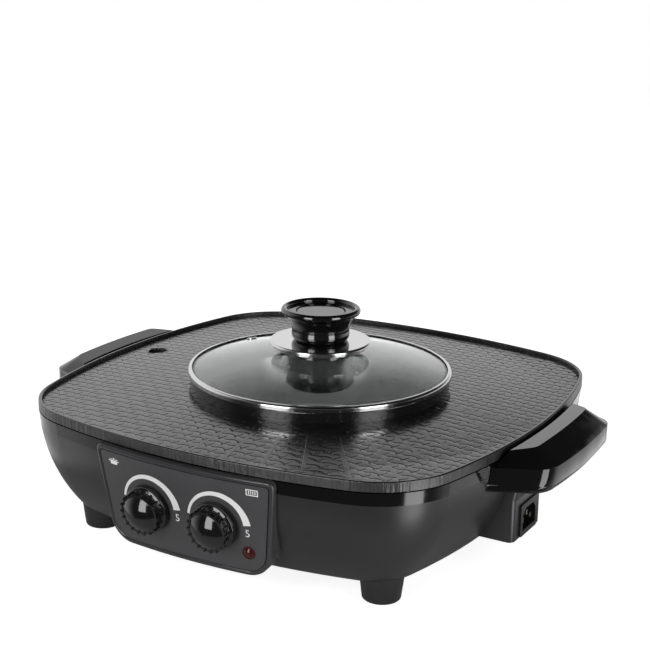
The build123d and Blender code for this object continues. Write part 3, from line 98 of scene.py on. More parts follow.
# The printing: places across and up, from the panel's top for signs and from a dial for the rest
POT_SIGN_PLACE = (-58.8 * MM, -12.0 * MM)
GRILL_SIGN_PLACE = (58.6 * MM, -10.6 * MM)
CRESCENT_SHIFT = (1.7 * MM, -0.5 * MM)
NUMERAL_SHIFT = (24.2 * MM, -3.2 * MM)
CRESCENT_STEPS = 48
CRESCENT_START = math.radians(171)
CRESCENT_END = math.radians(9)
CRESCENT_SWELL = 1.3
DIGIT_SHARE = 0.7

# The studio: the floor's half size, its glow near the object, the fade at the table's edge, and how
# the backdrop darkens to the sides and upwards
FLOOR_HALF = 3.0
NEAR_GLOW = 0.85
TABLE_FADE = 20 * MM
SIDE_REACH = 0.35
SIDE_LEVEL = 0.06
ROOM_LEVEL = 0.03


def linear(hex_code):
    """A colour's sRGB hex value, turned to the linear numbers that shaders take."""
    values = [int(hex_code[i:i + 2], 16) / 255 for i in (1, 3, 5)]
    return [v / 12.92 if v <= 0.04045 else ((v + 0.055) / 1.055) ** 2.4 for v in values] + [1.0]


def add(tree, kind, inputs=None, **settings):
    """Adds a node, with its settings by name, and its inputs as values or as (node, output) links."""
    node = tree.nodes.new(kind)
    for key, value in settings.items():
        setattr(node, key, value)
    for key, value in (inputs or {}).items():
        if isinstance(value, tuple) and isinstance(value[0], bpy.types.Node):
            tree.links.new(value[0].outputs[value[1]], node.inputs[key])
        else:
            node.inputs[key].default_value = value
    return node


def new_material(name, color, roughness, **sockets):
    """A Principled material with its even values set on the shader's own sockets."""
    material = bpy.data.materials.new(name)
    material.use_nodes = True
    shader = material.node_tree.nodes["Principled BSDF"]
    shader.inputs["Base Color"].default_value = linear(color)
    shader.inputs["Roughness"].default_value = roughness
    for key, value in sockets.items():
        shader.inputs[key.replace("_", " ")].default_value = value
    return material, material.node_tree, shader


def grain(tree, size, detail):
    """Noise whose blobs are about size metres across."""
    place = add(tree, "ShaderNodeTexCoord")
    return add(tree, "ShaderNodeTexNoise",
               {"Vector": (place, "Object"), "Scale": 1 / size, "Detail": detail})


def spread(tree, source, low, high):
    """Turns a noise's Fac, most of which lies from 0.3 to 0.7, into values between low and high."""
    return add(tree, "ShaderNodeMapRange",
               {"Value": (source, "Fac"), "From Min": 0.3, "From Max": 0.7, "To Min": low, "To Max": high})


def vary_roughness(tree, shader, source, low, high):
    """Sends a noise to the shader's roughness."""
    rough = spread(tree, source, low, high)
    tree.links.new(rough.outputs["Result"], shader.inputs["Roughness"])


def relief(tree, shader, source, depth, output="Fac"):
    """Sends a pattern to the shader's normal as a bump of depth metres."""
    bump = add(tree, "ShaderNodeBump", {"Height": (source, output), "Distance": depth, "Strength": 1.0})
    tree.links.new(bump.outputs["Normal"], shader.inputs["Normal"])


def textured(name, color, roughness, size, detail, depth, **sockets):
    """A material whose one pattern is a relief, with its size and depth in metres."""
    material, tree, shader = new_material(name, color, roughness, **sockets)
    pattern = grain(tree, size, detail)
    relief(tree, shader, pattern, depth)
    return material


def sprayed_nonstick():
    """PTFE sprayed on cast aluminium: near black and half satin, with fine orange peel.

    The rim's cast wall is duller, with upright streaks left by the mould.
    """
    look = bpy.context.scene.cooker_finish
    material, tree, shader = new_material("sprayed_nonstick", look.coating_color, look.coating_roughness,
                                          Specular_IOR_Level=1.0)
    streak_width, streak_depth, upright_stretch = 3 * MM, 0.9 * MM, 0.15
    peel_share, wall_dullness, patch_spread = 0.033, 0.25, 0.03
    wall = rim_wall(tree)
    place = add(tree, "ShaderNodeTexCoord")
    drawn_out = add(tree, "ShaderNodeVectorMath", {0: (place, "Object"), 1: (1.0, 1.0, upright_stretch)},
                    operation="MULTIPLY")
    streaks = add(tree, "ShaderNodeTexNoise",
                  {"Vector": (drawn_out, 0), "Scale": 1 / streak_width, "Detail": 5.0})
    peel = grain(tree, 1.2 * MM, 4.0)
    depth = add(tree, "ShaderNodeMapRange", {"Value": (wall, 0), "To Min": peel_share, "To Max": 1.0})
    surface = add(tree, "ShaderNodeMix", {0: (wall, 0), 2: (peel, "Fac"), 3: (streaks, "Fac")})
    height = add(tree, "ShaderNodeMath", {0: (surface, 0), 1: (depth, 0)}, operation="MULTIPLY")
    relief(tree, shader, height, streak_depth, "Value")
    patches = grain(tree, 14 * MM, 3.0)
    rough = spread(tree, patches, look.coating_roughness - patch_spread,
                   look.coating_roughness + patch_spread)
    duller = add(tree, "ShaderNodeMath", {0: (wall, 0), 1: wall_dullness, 2: (rough, "Result")},
                 operation="MULTIPLY_ADD")
    tree.links.new(duller.outputs[0], shader.inputs["Roughness"])
    return material


def rim_wall(tree):
    """One on the casting's upright outer wall, fading to zero where the surface turns level."""
    upright_z, level_z, wall_from = 0.3, 0.6, 150 * MM
    place = add(tree, "ShaderNodeTexCoord")
    turned = add(tree, "ShaderNodeNewGeometry")
    parts = add(tree, "ShaderNodeSeparateXYZ", {"Vector": (turned, "Normal")})
    level = add(tree, "ShaderNodeMath", {0: (parts, "Z")}, operation="ABSOLUTE")
    upright = add(tree, "ShaderNodeMapRange",
                  {"Value": (level, 0), "From Min": upright_z, "From Max": level_z,
                   "To Min": 1.0, "To Max": 0.0})
    flat = add(tree, "ShaderNodeVectorMath", {0: (place, "Object"), 1: (1.0, 1.0, 0.0)},
               operation="MULTIPLY")
    away = add(tree, "ShaderNodeVectorMath", {0: (flat, 0)}, operation="LENGTH")
    outer = add(tree, "ShaderNodeMath", {0: (away, "Value"), 1: wall_from}, operation="GREATER_THAN")
    return add(tree, "ShaderNodeMath", {0: (upright, "Result"), 1: (outer, 0)}, operation="MULTIPLY")


def moulded_satin():
    """Moulded polypropylene: satin black bowl, with a band near its mouth polished in the tool."""
    look = bpy.context.scene.cooker_finish
    material, tree, shader = new_material("moulded_satin_plastic", look.housing_color,
                                          look.housing_roughness)
    place = add(tree, "ShaderNodeTexCoord")
    parts = add(tree, "ShaderNodeSeparateXYZ", {"Vector": (place, "Object")})
    edge = 0.1 * MM
    gloss = add(tree, "ShaderNodeMapRange",
                {"Value": (parts, "Z"),
                 "From Min": look.band_bottom - edge, "From Max": look.band_bottom + edge,
                 "To Min": look.housing_roughness, "To Max": look.gloss_roughness})
    flow = grain(tree, 30 * MM, 2.0)
    vary = spread(tree, flow, -0.02, 0.03)
    total = add(tree, "ShaderNodeMath", {0: (gloss, "Result"), 1: (vary, "Result")}, operation="ADD")
    tree.links.new(total.outputs[0], shader.inputs["Roughness"])
    polished = add(tree, "ShaderNodeMath", {0: (parts, "Z"), 1: look.band_bottom}, operation="GREATER_THAN")
    tones = {6: linear(look.housing_color), 7: linear(look.gloss_color)}
    tone = add(tree, "ShaderNodeMix", {0: (polished, 0), **tones}, data_type="RGBA")
    tree.links.new(tone.outputs[2], shader.inputs["Base Color"])
    # The mould's spark texture is finer than a pixel, so it is drawn coarser
    texture = grain(tree, 0.6 * MM, 2.0)
    relief(tree, shader, texture, 0.006 * MM)
    return material


def polished_phenolic(name, specular=0.5):
    """Moulded phenolic, tool-polished: deep black gloss with a faint flow waviness."""
    look = bpy.context.scene.cooker_finish
    material, tree, shader = new_material(name, look.gloss_color, look.gloss_roughness,
                                          Specular_IOR_Level=specular)
    wave = grain(tree, 25 * MM, 1.0)
    relief(tree, shader, wave, 0.006 * MM)
    dust = grain(tree, 3 * MM, 5.0)
    vary_roughness(tree, shader, dust, look.gloss_roughness * 0.7, look.gloss_roughness * 1.4)
    return material


def satin_panel():
    """Spray-painted ABS plate: dark grey satin with fine sparkle-free grain, drawn coarser so it shows."""
    look = bpy.context.scene.cooker_finish
    material, tree, shader = new_material("painted_abs_plate", look.panel_color, 0.42)
    fine = grain(tree, 0.5 * MM, 2.0)
    relief(tree, shader, fine, 0.01 * MM)
    patches = grain(tree, 20 * MM, 3.0)
    vary_roughness(tree, shader, patches, 0.36, 0.48)
    return material


def moulded_black(name, roughness, color):
    """Plain moulded plastic: black and satin, with a faint texture, drawn coarser so it shows."""
    material, tree, shader = new_material(name, color, roughness)
    texture = grain(tree, 0.8 * MM, 3.0)
    relief(tree, shader, texture, 0.01 * MM)
    patches = grain(tree, 12 * MM, 3.0)
    vary_roughness(tree, shader, patches, roughness - 0.04, roughness + 0.06)
    return material


def polished_steel():
    """Stainless steel, rolled and buffed: bright, with faint turned lines round the pot's axis.

    Buffing lines are finer than a pixel, so they are drawn 0.3 mm apart.
    """
    look = bpy.context.scene.cooker_finish
    material, tree, shader = new_material("buffed_stainless_steel", look.steel_color, 0.12, Metallic=1.0)
    place = add(tree, "ShaderNodeTexCoord")
    parts = add(tree, "ShaderNodeSeparateXYZ", {"Vector": (place, "Object")})
    across = add(tree, "ShaderNodeMath", {0: (parts, "Y"), 1: -AXIS_Y}, operation="ADD")
    flat = add(tree, "ShaderNodeCombineXYZ", {"X": (parts, "X"), "Y": (across, 0)})
    radius = add(tree, "ShaderNodeVectorMath", {0: (flat, 0)}, operation="LENGTH")
    lines = add(tree, "ShaderNodeTexNoise", {"W": (radius, "Value"), "Scale": 1 / (0.3 * MM), "Detail": 2.0},
                noise_dimensions="1D")
    vary_roughness(tree, shader, lines, 0.09, 0.2)
    return material


def plated_steel():
    """Zinc-plated sheet and screws: pale grey, softly mottled."""
    material, tree, shader = new_material("zinc_plated_steel", "#a9abad", 0.35, Metallic=1.0)
    spangle = grain(tree, 2 * MM, 4.0)
    vary_roughness(tree, shader, spangle, 0.28, 0.45)
    return material


def pressed_aluminium():
    """Pressed aluminium sheet: bright grey with drawing marks."""
    material, tree, shader = new_material("pressed_aluminium", "#b9babb", 0.3, Metallic=1.0)
    marks = grain(tree, 6 * MM, 6.0)
    vary_roughness(tree, shader, marks, 0.24, 0.42)
    relief(tree, shader, marks, 0.02 * MM)
    return material


def sheathed_heater():
    """Heater tube: steel sheath, baked dark by use."""
    material, tree, shader = new_material("oxidised_heater_sheath", "#3d3b38", 0.5, Metallic=1.0)
    scale = grain(tree, 4 * MM, 5.0)
    colors = add(tree, "ShaderNodeValToRGB", {"Fac": (scale, "Fac")})
    colors.color_ramp.elements[0].color = linear("#2b2a29")
    colors.color_ramp.elements[1].color = linear("#5a5147")
    tree.links.new(colors.outputs["Color"], shader.inputs["Base Color"])
    relief(tree, shader, scale, 0.03 * MM)
    return material


def fired_ceramic():
    """Fired steatite: chalky off-white."""
    return textured("fired_steatite", "#d9d2c2", 0.6, size=0.8 * MM, detail=4.0, depth=0.03 * MM)


def plated_brass():
    """Nickel-plated brass blades: warm pale metal with fine draw lines."""
    material, tree, shader = new_material("nickel_plated_brass", "#c9c2b2", 0.22, Metallic=1.0)
    lines = grain(tree, 0.7 * MM, 2.0)
    vary_roughness(tree, shader, lines, 0.15, 0.3)
    return material


def moulded_rubber():
    """Moulded rubber: dull black, slightly dusty."""
    return textured("moulded_rubber", "#1b1b1b", 0.8, size=2 * MM, detail=5.0, depth=0.04 * MM)


def white_nylon():
    """Moulded nylon: natural white sleeve."""
    return textured("moulded_nylon", "#d8d6cf", 0.45, size=1.0 * MM, detail=3.0, depth=0.01 * MM)


def tempered_glass():
    """Tempered soda-lime glass: clear, with the faintest waviness left by bending."""
    return textured("tempered_glass", "#f7faf9", 0.0, size=40 * MM, detail=1.0, depth=0.01 * MM,
                    Transmission_Weight=1.0, IOR=1.5)


def tinted_lens():
    """Dyed acrylic, moulded: deep red and translucent over an unlit lamp."""
    look = bpy.context.scene.cooker_finish
    return textured("dyed_acrylic", look.lens_color, 0.12, size=1.5 * MM, detail=2.0, depth=0.02 * MM,
                    Transmission_Weight=0.35, IOR=1.49)


def printed_ink():
    """Screen-printed ink: opaque white, faintly rough."""
    look = bpy.context.scene.cooker_finish
    return textured("screen_printed_ink", look.ink_color, 0.5, size=0.4 * MM, detail=2.0, depth=0.005 * MM)


def dress(material, *names):
    """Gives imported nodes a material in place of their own."""
    for name in names:
        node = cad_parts[name]
        node.data.materials.clear()
        node.data.materials.append(material)


def round_edges(width, *names):
    """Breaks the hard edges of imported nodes, as a mould or a tumbler does."""
    for name in names:
        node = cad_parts[name]
        weld = node.modifiers.new("joined", "WELD")
        weld.merge_threshold = 0.01 * MM
        bevel = node.modifiers.new("broken_edges", "BEVEL")
        bevel.width = width
        bevel.segments = 2
        bevel.limit_method = "ANGLE"
        bevel.angle_limit = math.radians(35)
        bevel.harden_normals = True


def make_piece(name, points, faces, material, body):
    """A mesh with flat faces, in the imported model's frame, that rides on a body."""
    mesh = bpy.data.meshes.new(name)
    mesh.from_pydata([tuple(point) for point in points], [], faces)
    mesh.validate()
    mesh.polygons.foreach_set("use_smooth", [False] * len(mesh.polygons))
    mesh.materials.append(material)
    piece = bpy.data.objects.new(name, mesh)
    bpy.context.scene.collection.objects.link(piece)
    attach(piece, body)
    return piece


class CookerFinish(bpy.types.PropertyGroup):
    """Colours and roughness of the finishes."""
    coating_color: StringProperty(name="Coating", description="Nonstick coating, sRGB hex",
                                  default="#161616")
    coating_roughness: FloatProperty(name="Coating roughness",
                                     description="Roughness of the nonstick coating", default=0.17, min=0,
                                     max=1, subtype="FACTOR")
    housing_color: StringProperty(name="Housing", description="Moulded bowl, sRGB hex", default="#2b2a2b")
    housing_roughness: FloatProperty(name="Housing roughness", description="Roughness of the satin bowl",
                                     default=0.3, min=0, max=1, subtype="FACTOR")
    band_bottom: FloatProperty(name="Band bottom", description="Height where the glossy band starts",
                               default=89 * MM, unit="LENGTH", precision=4)
    gloss_color: StringProperty(name="Gloss", description="Knob, dials and handles, sRGB hex",
                                default="#0e0e0f")
    gloss_roughness: FloatProperty(name="Gloss roughness",
                                   description="Roughness of the polished mouldings", default=0.09, min=0,
                                   max=1, subtype="FACTOR")
    panel_color: StringProperty(name="Panel", description="Face plate, sRGB hex", default="#454446")
    surround_color: StringProperty(name="Surround", description="Surround of the panel, sRGB hex",
                                   default="#3a393b")
    steel_color: StringProperty(name="Steel", description="Buffed steel, sRGB hex", default="#cfcfcf")
    lens_color: StringProperty(name="Lamp", description="Window of the pilot lamp, sRGB hex",
                               default="#4a0d07")
    ink_color: StringProperty(name="Ink", description="Printing on the panel, sRGB hex", default="#f2f2f2")


class PlateWeave(bpy.types.PropertyGroup):
    """Sizes of the emboss on the grill plate."""
    pitch: FloatProperty(name="Pitch", description="Distance between like marks along a row",
                         default=16.1 * MM, unit="LENGTH", precision=4)
    row: FloatProperty(name="Row", description="Distance between rows", default=8.3 * MM, unit="LENGTH",
                       precision=4)
    rise: FloatProperty(name="Arc rise", description="How far each arc bows to the back", default=1.9 * MM,
                        unit="LENGTH", precision=4)
    arc: FloatProperty(name="Arc length", description="Length of each arc", default=10.9 * MM,
                       unit="LENGTH", precision=4)
    tick: FloatProperty(name="Tick", description="How far back each arc's tick runs", default=4.7 * MM,
                        unit="LENGTH", precision=4)
    tick_lean: FloatProperty(name="Tick lean", description="How far right the tick's far end lies",
                             default=2.4 * MM, unit="LENGTH", precision=4)
    groove: FloatProperty(name="Groove", description="Width of the grooves", default=0.9 * MM,
                          unit="LENGTH", precision=4)
    depth: FloatProperty(name="Depth", description="Depth of the grooves", default=0.16 * MM, unit="LENGTH",
                         precision=5)
    skin: FloatProperty(name="Skin", description="Thickness of the embossed skin at the rim",
                        default=0.5 * MM, unit="LENGTH", precision=5)
    rise_to_collar: FloatProperty(name="Rise to collar",
                                  description="How much higher the plate is at the collar",
                                  default=3.2 * MM, unit="LENGTH", precision=4)
    dome: FloatProperty(name="Dome", description="How far each tile domes up", default=0.06 * MM,
                        unit="LENGTH", precision=5)
    bands: IntProperty(name="Bands", description="Plain bands on the front right quarter", default=11)
    band_step: FloatProperty(name="Band step", description="Angle between bands", default=math.radians(9),
                             subtype="ANGLE")
    band_width: FloatProperty(name="Band width", description="Width of a plain band", default=3.0 * MM,
                              unit="LENGTH", precision=4)
    band_end: FloatProperty(name="Band end", description="Where a band stops, from the outline",
                            default=13 * MM, unit="LENGTH", precision=4)


class PanelPrint(bpy.types.PropertyGroup):
    """Sizes of the panel's printing, on the panel's own plane."""
    tilt: FloatProperty(name="Tilt", description="How far the panel leans back under the pan",
                        default=math.radians(8), subtype="ANGLE")
    bow: FloatProperty(name="Bow", description="Radius of the panel's bowed face", default=557 * MM,
                       unit="LENGTH")
    dial_x: FloatProperty(name="Dial X", description="Panel's middle to each dial", default=28.5 * MM,
                          unit="LENGTH", precision=4)
    dial_drop: FloatProperty(name="Dial drop", description="Panel's top to the dials", default=40.4 * MM,
                             unit="LENGTH", precision=4)
    arc_radius: FloatProperty(name="Arc radius", description="Outer radius of the crescent round a dial",
                              default=25.7 * MM, unit="LENGTH", precision=4)
    thin: FloatProperty(name="Thin end", description="Width of the crescent's low end", default=1.9 * MM,
                        unit="LENGTH", precision=4)
    thick: FloatProperty(name="Thick end", description="Width of the crescent's high end", default=5.8 * MM,
                         unit="LENGTH", precision=4)
    numeral: FloatProperty(name="Numeral", description="Height of the numeral", default=5.6 * MM,
                           unit="LENGTH", precision=4)
    ink: FloatProperty(name="Ink", description="Height of the ink over the plate", default=0.06 * MM,
                       unit="LENGTH", precision=5)


class Studio(bpy.types.PropertyGroup):
    """The photograph's camera and lights."""
    azimuth: FloatProperty(name="Azimuth", description="Camera's turn round the object",
                           default=math.radians(29.96), subtype="ANGLE")
    elevation: FloatProperty(name="Elevation", description="Camera's rise over the horizon",
                             default=math.radians(15.41), subtype="ANGLE")
    roll: FloatProperty(name="Roll", description="Camera's roll", default=math.radians(0.92),
                        subtype="ANGLE")
    distance: FloatProperty(name="Distance", description="Camera to its target", default=1.15183,
                            unit="LENGTH", precision=4)
    aim_right: FloatProperty(name="Aim right", description="Camera's shift to its right", default=4.9 * MM,
                             unit="LENGTH", precision=4)
    aim_up: FloatProperty(name="Aim up", description="Camera's shift up", default=89.91 * MM, unit="LENGTH",
                          precision=4)
    target_height: FloatProperty(name="Target height", description="Height of the target over the table",
                                 default=60 * MM, unit="LENGTH", precision=4)
    focal_length: FloatProperty(name="Focal length", description="For a 36 mm sensor, in millimetres",
                                default=78.7)
    left_turn: FloatProperty(name="Left box turn", description="Left softbox's turn from the camera",
                             default=math.radians(-36), subtype="ANGLE")
    right_turn: FloatProperty(name="Right box turn", description="Right softbox's turn from the camera",
                              default=math.radians(45), subtype="ANGLE")
    box_distance: FloatProperty(name="Box distance", description="Softboxes to the object", default=1.5,
                                unit="LENGTH")
    box_width: FloatProperty(name="Box width", description="Width of each softbox", default=0.6,
                             unit="LENGTH")
    box_top: FloatProperty(name="Box top", description="Top of the softboxes, from the table top",
                           default=1.1, unit="LENGTH")
    left_foot: FloatProperty(name="Left box foot",
                             description="Foot of the left softbox, from the table top", default=-0.2,
                             unit="LENGTH")
    right_foot: FloatProperty(name="Right box foot",
                              description="Foot of the right softbox, from the table top", default=-1.2,
                              unit="LENGTH")
    box_power: FloatProperty(name="Box power", description="Power of a square metre of softbox, in watts",
                             default=16.7)
    table: FloatProperty(name="Table", description="Radius of the table", default=0.26, unit="LENGTH")
    white_below: FloatProperty(name="White below",
                               description="Backdrop is white up to this height on the sky", default=0.34)
    dark_above: FloatProperty(name="Dark above", description="Room is dark over this height on the sky",
                              default=0.62)
    backdrop_lean: FloatProperty(name="Backdrop lean",
                                 description="How much sooner it darkens to the right", default=0.4)


def panel_point(across, up, lift):
    """A point over the face plate, from its place across and up the panel's plane."""
    look = bpy.context.scene.cooker_print
    top = Vector((0, PANEL_TOP_Y, PANEL_TOP_Z))
    outward = Vector((0, -math.cos(look.tilt), -math.sin(look.tilt)))
    upward = Vector((0, -math.sin(look.tilt), math.cos(look.tilt)))
    drop = look.bow - math.sqrt(look.bow ** 2 - across ** 2)
    return top + Vector((across, 0, 0)) + upward * up + outward * (lift - PLATE_RECESS - drop)


def outline_gap(x, y, inset):
    """Signed distance inside the bowed square outline, and the nearest point on it."""
    centre = PAN_HALF - SIDE_RADIUS
    reach = SIDE_RADIUS - CORNER_RADIUS
    corner_centre = (centre + math.sqrt(2 * reach ** 2 - centre ** 2)) / 2
    half_angle = math.atan2(corner_centre, corner_centre - centre)
    a, b = abs(x), abs(y)
    swapped = b > a
    if swapped:
        a, b = b, a
    if math.atan2(b, a - centre) <= half_angle:
        origin, radius = (centre, 0.0), SIDE_RADIUS - inset
    else:
        origin, radius = (corner_centre, corner_centre), CORNER_RADIUS - inset
    away = math.hypot(a - origin[0], b - origin[1])
    gap = radius - away
    share = radius / away
    near = (origin[0] + (a - origin[0]) * share, origin[1] + (b - origin[1]) * share)
    if swapped:
        near = (near[1], near[0])
    return gap, (math.copysign(near[0], x), math.copysign(near[1], y))


def plate_height(radius, look):
    """Height of the tiles: the plate rises as a shallow cone from the rim to the pot's collar."""
    share = (CONE_FOOT - radius) / (CONE_FOOT - COLLAR_EDGE)
    return PLATE_TOP + look.skin + look.rise_to_collar * min(max(share, 0), 1)


def arc_bow(u, j, look):
    """How far back the arc in row j bows at u, as a share, and whether the arc's groove reaches there."""
    phase = (u - (j % 2) * look.pitch / 2) / look.pitch
    off = abs(phase - round(phase)) * look.pitch
    share = 2 * off / look.arc
    return max(1 - share ** 2, 0), share < ARC_REACH


def held_to_edges(x, y):
    """A point moved back onto the plate, and how far it lies from the nearest edge."""
    rim_gap, near = outline_gap(x, y, RIM_INSET)
    if rim_gap < 0:
        x, y = near
    r = math.hypot(x, y)
    collar_gap = r - COLLAR_EDGE
    if collar_gap < 0:
        x, y = x * COLLAR_EDGE / r, y * COLLAR_EDGE / r
    dx, dy = x - DRAIN_X, y - DRAIN_Y
    hole = math.hypot(dx, dy)
    if hole < DRAIN_EDGE:
        x, y = DRAIN_X + dx * DRAIN_EDGE / hole, DRAIN_Y + dy * DRAIN_EDGE / hole
    return x, y, min(rim_gap, collar_gap, hole - DRAIN_EDGE)


def weave_mesh(look):
    """Points and faces of the plate's embossed skin.

    Its tiles are parted by grooves: rows of arcs, each with a tick at its right end.
    """
    half = look.pitch / 2
    lip = LIP_SHARE * look.groove
    cut = (-look.groove / 2, -look.groove / 6, look.groove / 6, look.groove / 2, lip)
    steps = int(PAN_HALF / half) + 2
    across = (*cut, *(share * half for share in TILE_LINES), half - lip)
    columns = [(k, o) for k in range(-steps, steps + 1) for o in across]
    lines = int(PAN_HALF / look.row) + 2
    tick_share = look.tick / look.row
    back = (*cut, tick_share * look.row, (tick_share + TICK_END) * look.row, look.row - lip)
    rows = [(j, v) for j in range(-lines, lines + 1) for v in back]
    points, inside = [], []
    for j, v in rows:
        share = v / look.row
        lean = look.tick_lean * min(max(share, 0) / tick_share, (1 - share) / (1 - tick_share))
        for k, o in columns:
            u = k * half + look.arc / 2 + o
            here, in_arc = arc_bow(u, j, look)
            there = arc_bow(u, j + (1 if v >= 0 else -1), look)[0]
            y = j * look.row + v + look.rise * ((1 - abs(share)) * here + abs(share) * there)
            in_tick = abs(o) < look.groove / 4 and (k + j) % 2 == 0 and 0 < v <= look.tick * TICK_REACH
            groove = 1.0 if in_tick or (in_arc and abs(v) < look.groove / 4) else 0.0
            dome = math.sin(math.pi * min(max(share, 0), 1))
            x, y, edge = held_to_edges(u + lean, y)
            fade = min(max(edge / EDGE_FADE, 0), 1)
            z = plate_height(math.hypot(x, y), look) - fade * (look.depth * groove - look.dome * dome)
            points.append((x, y + AXIS_Y, z))
            inside.append(edge > 0)
    width = len(columns)
    faces = []
    for a in range(len(rows) - 1):
        for b in range(width - 1):
            corners = (a * width + b, a * width + b + 1, (a + 1) * width + b + 1, (a + 1) * width + b)
            if any(inside[c] for c in corners):
                faces.append(corners)
    return points, faces


def band_mesh(look):
    """Points and faces of the plain bands that run out from the collar over the front right of the plate."""
    points, faces = [], []
    for number in range(look.bands):
        angle = -number * look.band_step
        out = Vector((math.cos(angle), math.sin(angle), 0))
        side = Vector((-out.y, out.x, 0))
        end = CONE_FOOT
        while outline_gap(out.x * end, out.y * end, 0)[0] > look.band_end:
            end += BAND_STRIDE
        start = len(points)
        for radius in (COLLAR_EDGE + BAND_START, min(end, CONE_FOOT), end + BAND_STRIDE):
            top = plate_height(radius, look) + look.dome + BAND_LIFT
            for across, drop in BAND_SECTION:
                place = out * radius + side * across * look.band_width / 2
                points.append((place.x, place.y + AXIS_Y, top - drop))
        count = len(BAND_SECTION)
        for a in (start, start + count):
            b = a + count
            faces += [(a + i, b + i, b + (i + 1) % count, a + (i + 1) % count) for i in range(count)]
        faces.append(tuple(range(start + count - 1, start - 1, -1)))
        faces.append(tuple(range(start + 2 * count, start + 3 * count)))
    return points, faces


class COOKER_OT_casting(bpy.types.Operator):
    """Coats the casting and lays the embossed skin on its plate"""
    bl_idname = "cooker.casting"
    bl_label = "Casting"

    def execute(self, context):
        coating = sprayed_nonstick()
        dress(coating, "grill_pan")
        points, faces = weave_mesh(context.scene.cooker_weave)
        skin = make_piece("plate_weave", points, faces, coating, "pan")
        mesh = bmesh.new()
        mesh.from_mesh(skin.data)
        bmesh.ops.remove_doubles(mesh, verts=mesh.verts, dist=SAME_POINT)
        bmesh.ops.dissolve_degenerate(mesh, dist=SAME_POINT, edges=mesh.edges)
        loose = [vert for vert in mesh.verts if not vert.link_faces]
        bmesh.ops.delete(mesh, geom=loose, context="VERTS")
        border = [edge for edge in mesh.edges if edge.is_boundary]
        made = bmesh.ops.extrude_edge_only(mesh, edges=border)
        down = [item for item in made["geom"] if isinstance(item, bmesh.types.BMVert)]
        for vert in down:
            vert.co.z = PLATE_TOP - SKIN_SINK
        bmesh.ops.recalc_face_normals(mesh, faces=mesh.faces)
        mesh.to_mesh(skin.data)
        mesh.free()
        skin.data.polygons.foreach_set("use_smooth", [True] * len(skin.data.polygons))
        points, faces = band_mesh(context.scene.cooker_weave)
        make_piece("plate_bands", points, faces, coating, "pan")
        return {"FINISHED"}


class COOKER_OT_lid(bpy.types.Operator):
    """Finishes the lid: glass, steel rim and dish, collar, knob and screw"""
    bl_idname = "cooker.lid"
    bl_label = "Lid"

    def execute(self, context):
        phenolic = polished_phenolic("polished_phenolic_knob", 0.9)
        dress(tempered_glass(), "lid_glass")
        dress(polished_steel(), "lid_ring", "steam_disc", "vent_grommet")
        dress(phenolic, "lid_seat", "lid_knob", "knob_cap")
        dress(plated_steel(), "lid_screw")
        return {"FINISHED"}


class COOKER_OT_base(bpy.types.Operator):
    """Finishes the housing, bottom cover, feet, pads and screws"""
    bl_idname = "cooker.base"
    bl_label = "Base"

    def execute(self, context):
        dress(moulded_satin(), "housing")
        look = context.scene.cooker_finish
        dress(moulded_black("painted_steel_cover", 0.4, look.housing_color), "bottom_cover")
        feet = [f"{end}_{side}" for end in ("front", "back") for side in ("left", "right")]
        dress(moulded_black("moulded_abs_feet", 0.3, look.housing_color), *[name + "_foot" for name in feet])
        dress(moulded_rubber(), *[name + "_pad" for name in feet])
        dress(plated_steel(), "cover_screws", "handle_screws")
        return {"FINISHED"}


class COOKER_OT_handles(bpy.types.Operator):
    """Polishes the two halves of each handle and breaks their edges"""
    bl_idname = "cooker.handles"
    bl_label = "Handles"

    def execute(self, context):
        phenolic = polished_phenolic("polished_phenolic_handles")
        names = [f"{side}_handle_{half}" for side in ("left", "right") for half in ("cover", "base")]
        dress(phenolic, *names)
        round_edges(0.7 * MM, *names)
        return {"FINISHED"}


class COOKER_OT_panel(bpy.types.Operator):
    """Finishes the control panel's surround, face plate and pilot lamp, and prints its dial scales"""
    bl_idname = "cooker.panel"
    bl_label = "Control panel"

    def execute(self, context):
        look = context.scene.cooker_print
        surround = context.scene.cooker_finish.surround_color
        dress(moulded_black("moulded_abs_surround", 0.2, surround), "control_frame")
        dress(satin_panel(), "control_plate")
        dress(tinted_lens(), "pilot_lens")
        ink = printed_ink()
        for side, name in ((-1, "pot"), (1, "grill")):
            u, v = side * look.dial_x, -look.dial_drop
            print_crescent(f"{name}_scale", (u + CRESCENT_SHIFT[0], v + CRESCENT_SHIFT[1]), ink)
            print_numeral(f"{name}_numeral", "5", (u + NUMERAL_SHIFT[0], v + NUMERAL_SHIFT[1]), ink)
        print_pot("pot_sign", POT_SIGN_PLACE, ink)
        print_grill("grill_sign", GRILL_SIGN_PLACE, ink)
        return {"FINISHED"}


def print_flat(name, outlines, ink):
    """Prints closed outlines, given as points across and up the panel, as one thin layer of ink."""
    lift = bpy.context.scene.cooker_print.ink
    points, faces = [], []
    for outline in outlines:
        start = len(points)
        count = len(outline)
        points += [panel_point(u, v, lift) for u, v in outline]
        points += [panel_point(u, v, 0) for u, v in outline]
        faces.append(tuple(range(start, start + count)))
        faces.append(tuple(range(start + 2 * count - 1, start + count - 1, -1)))
        faces += [(start + i, start + count + i, start + count + (i + 1) % count, start + (i + 1) % count)
                  for i in range(count)]
    make_piece(name, points, faces, ink, "base")


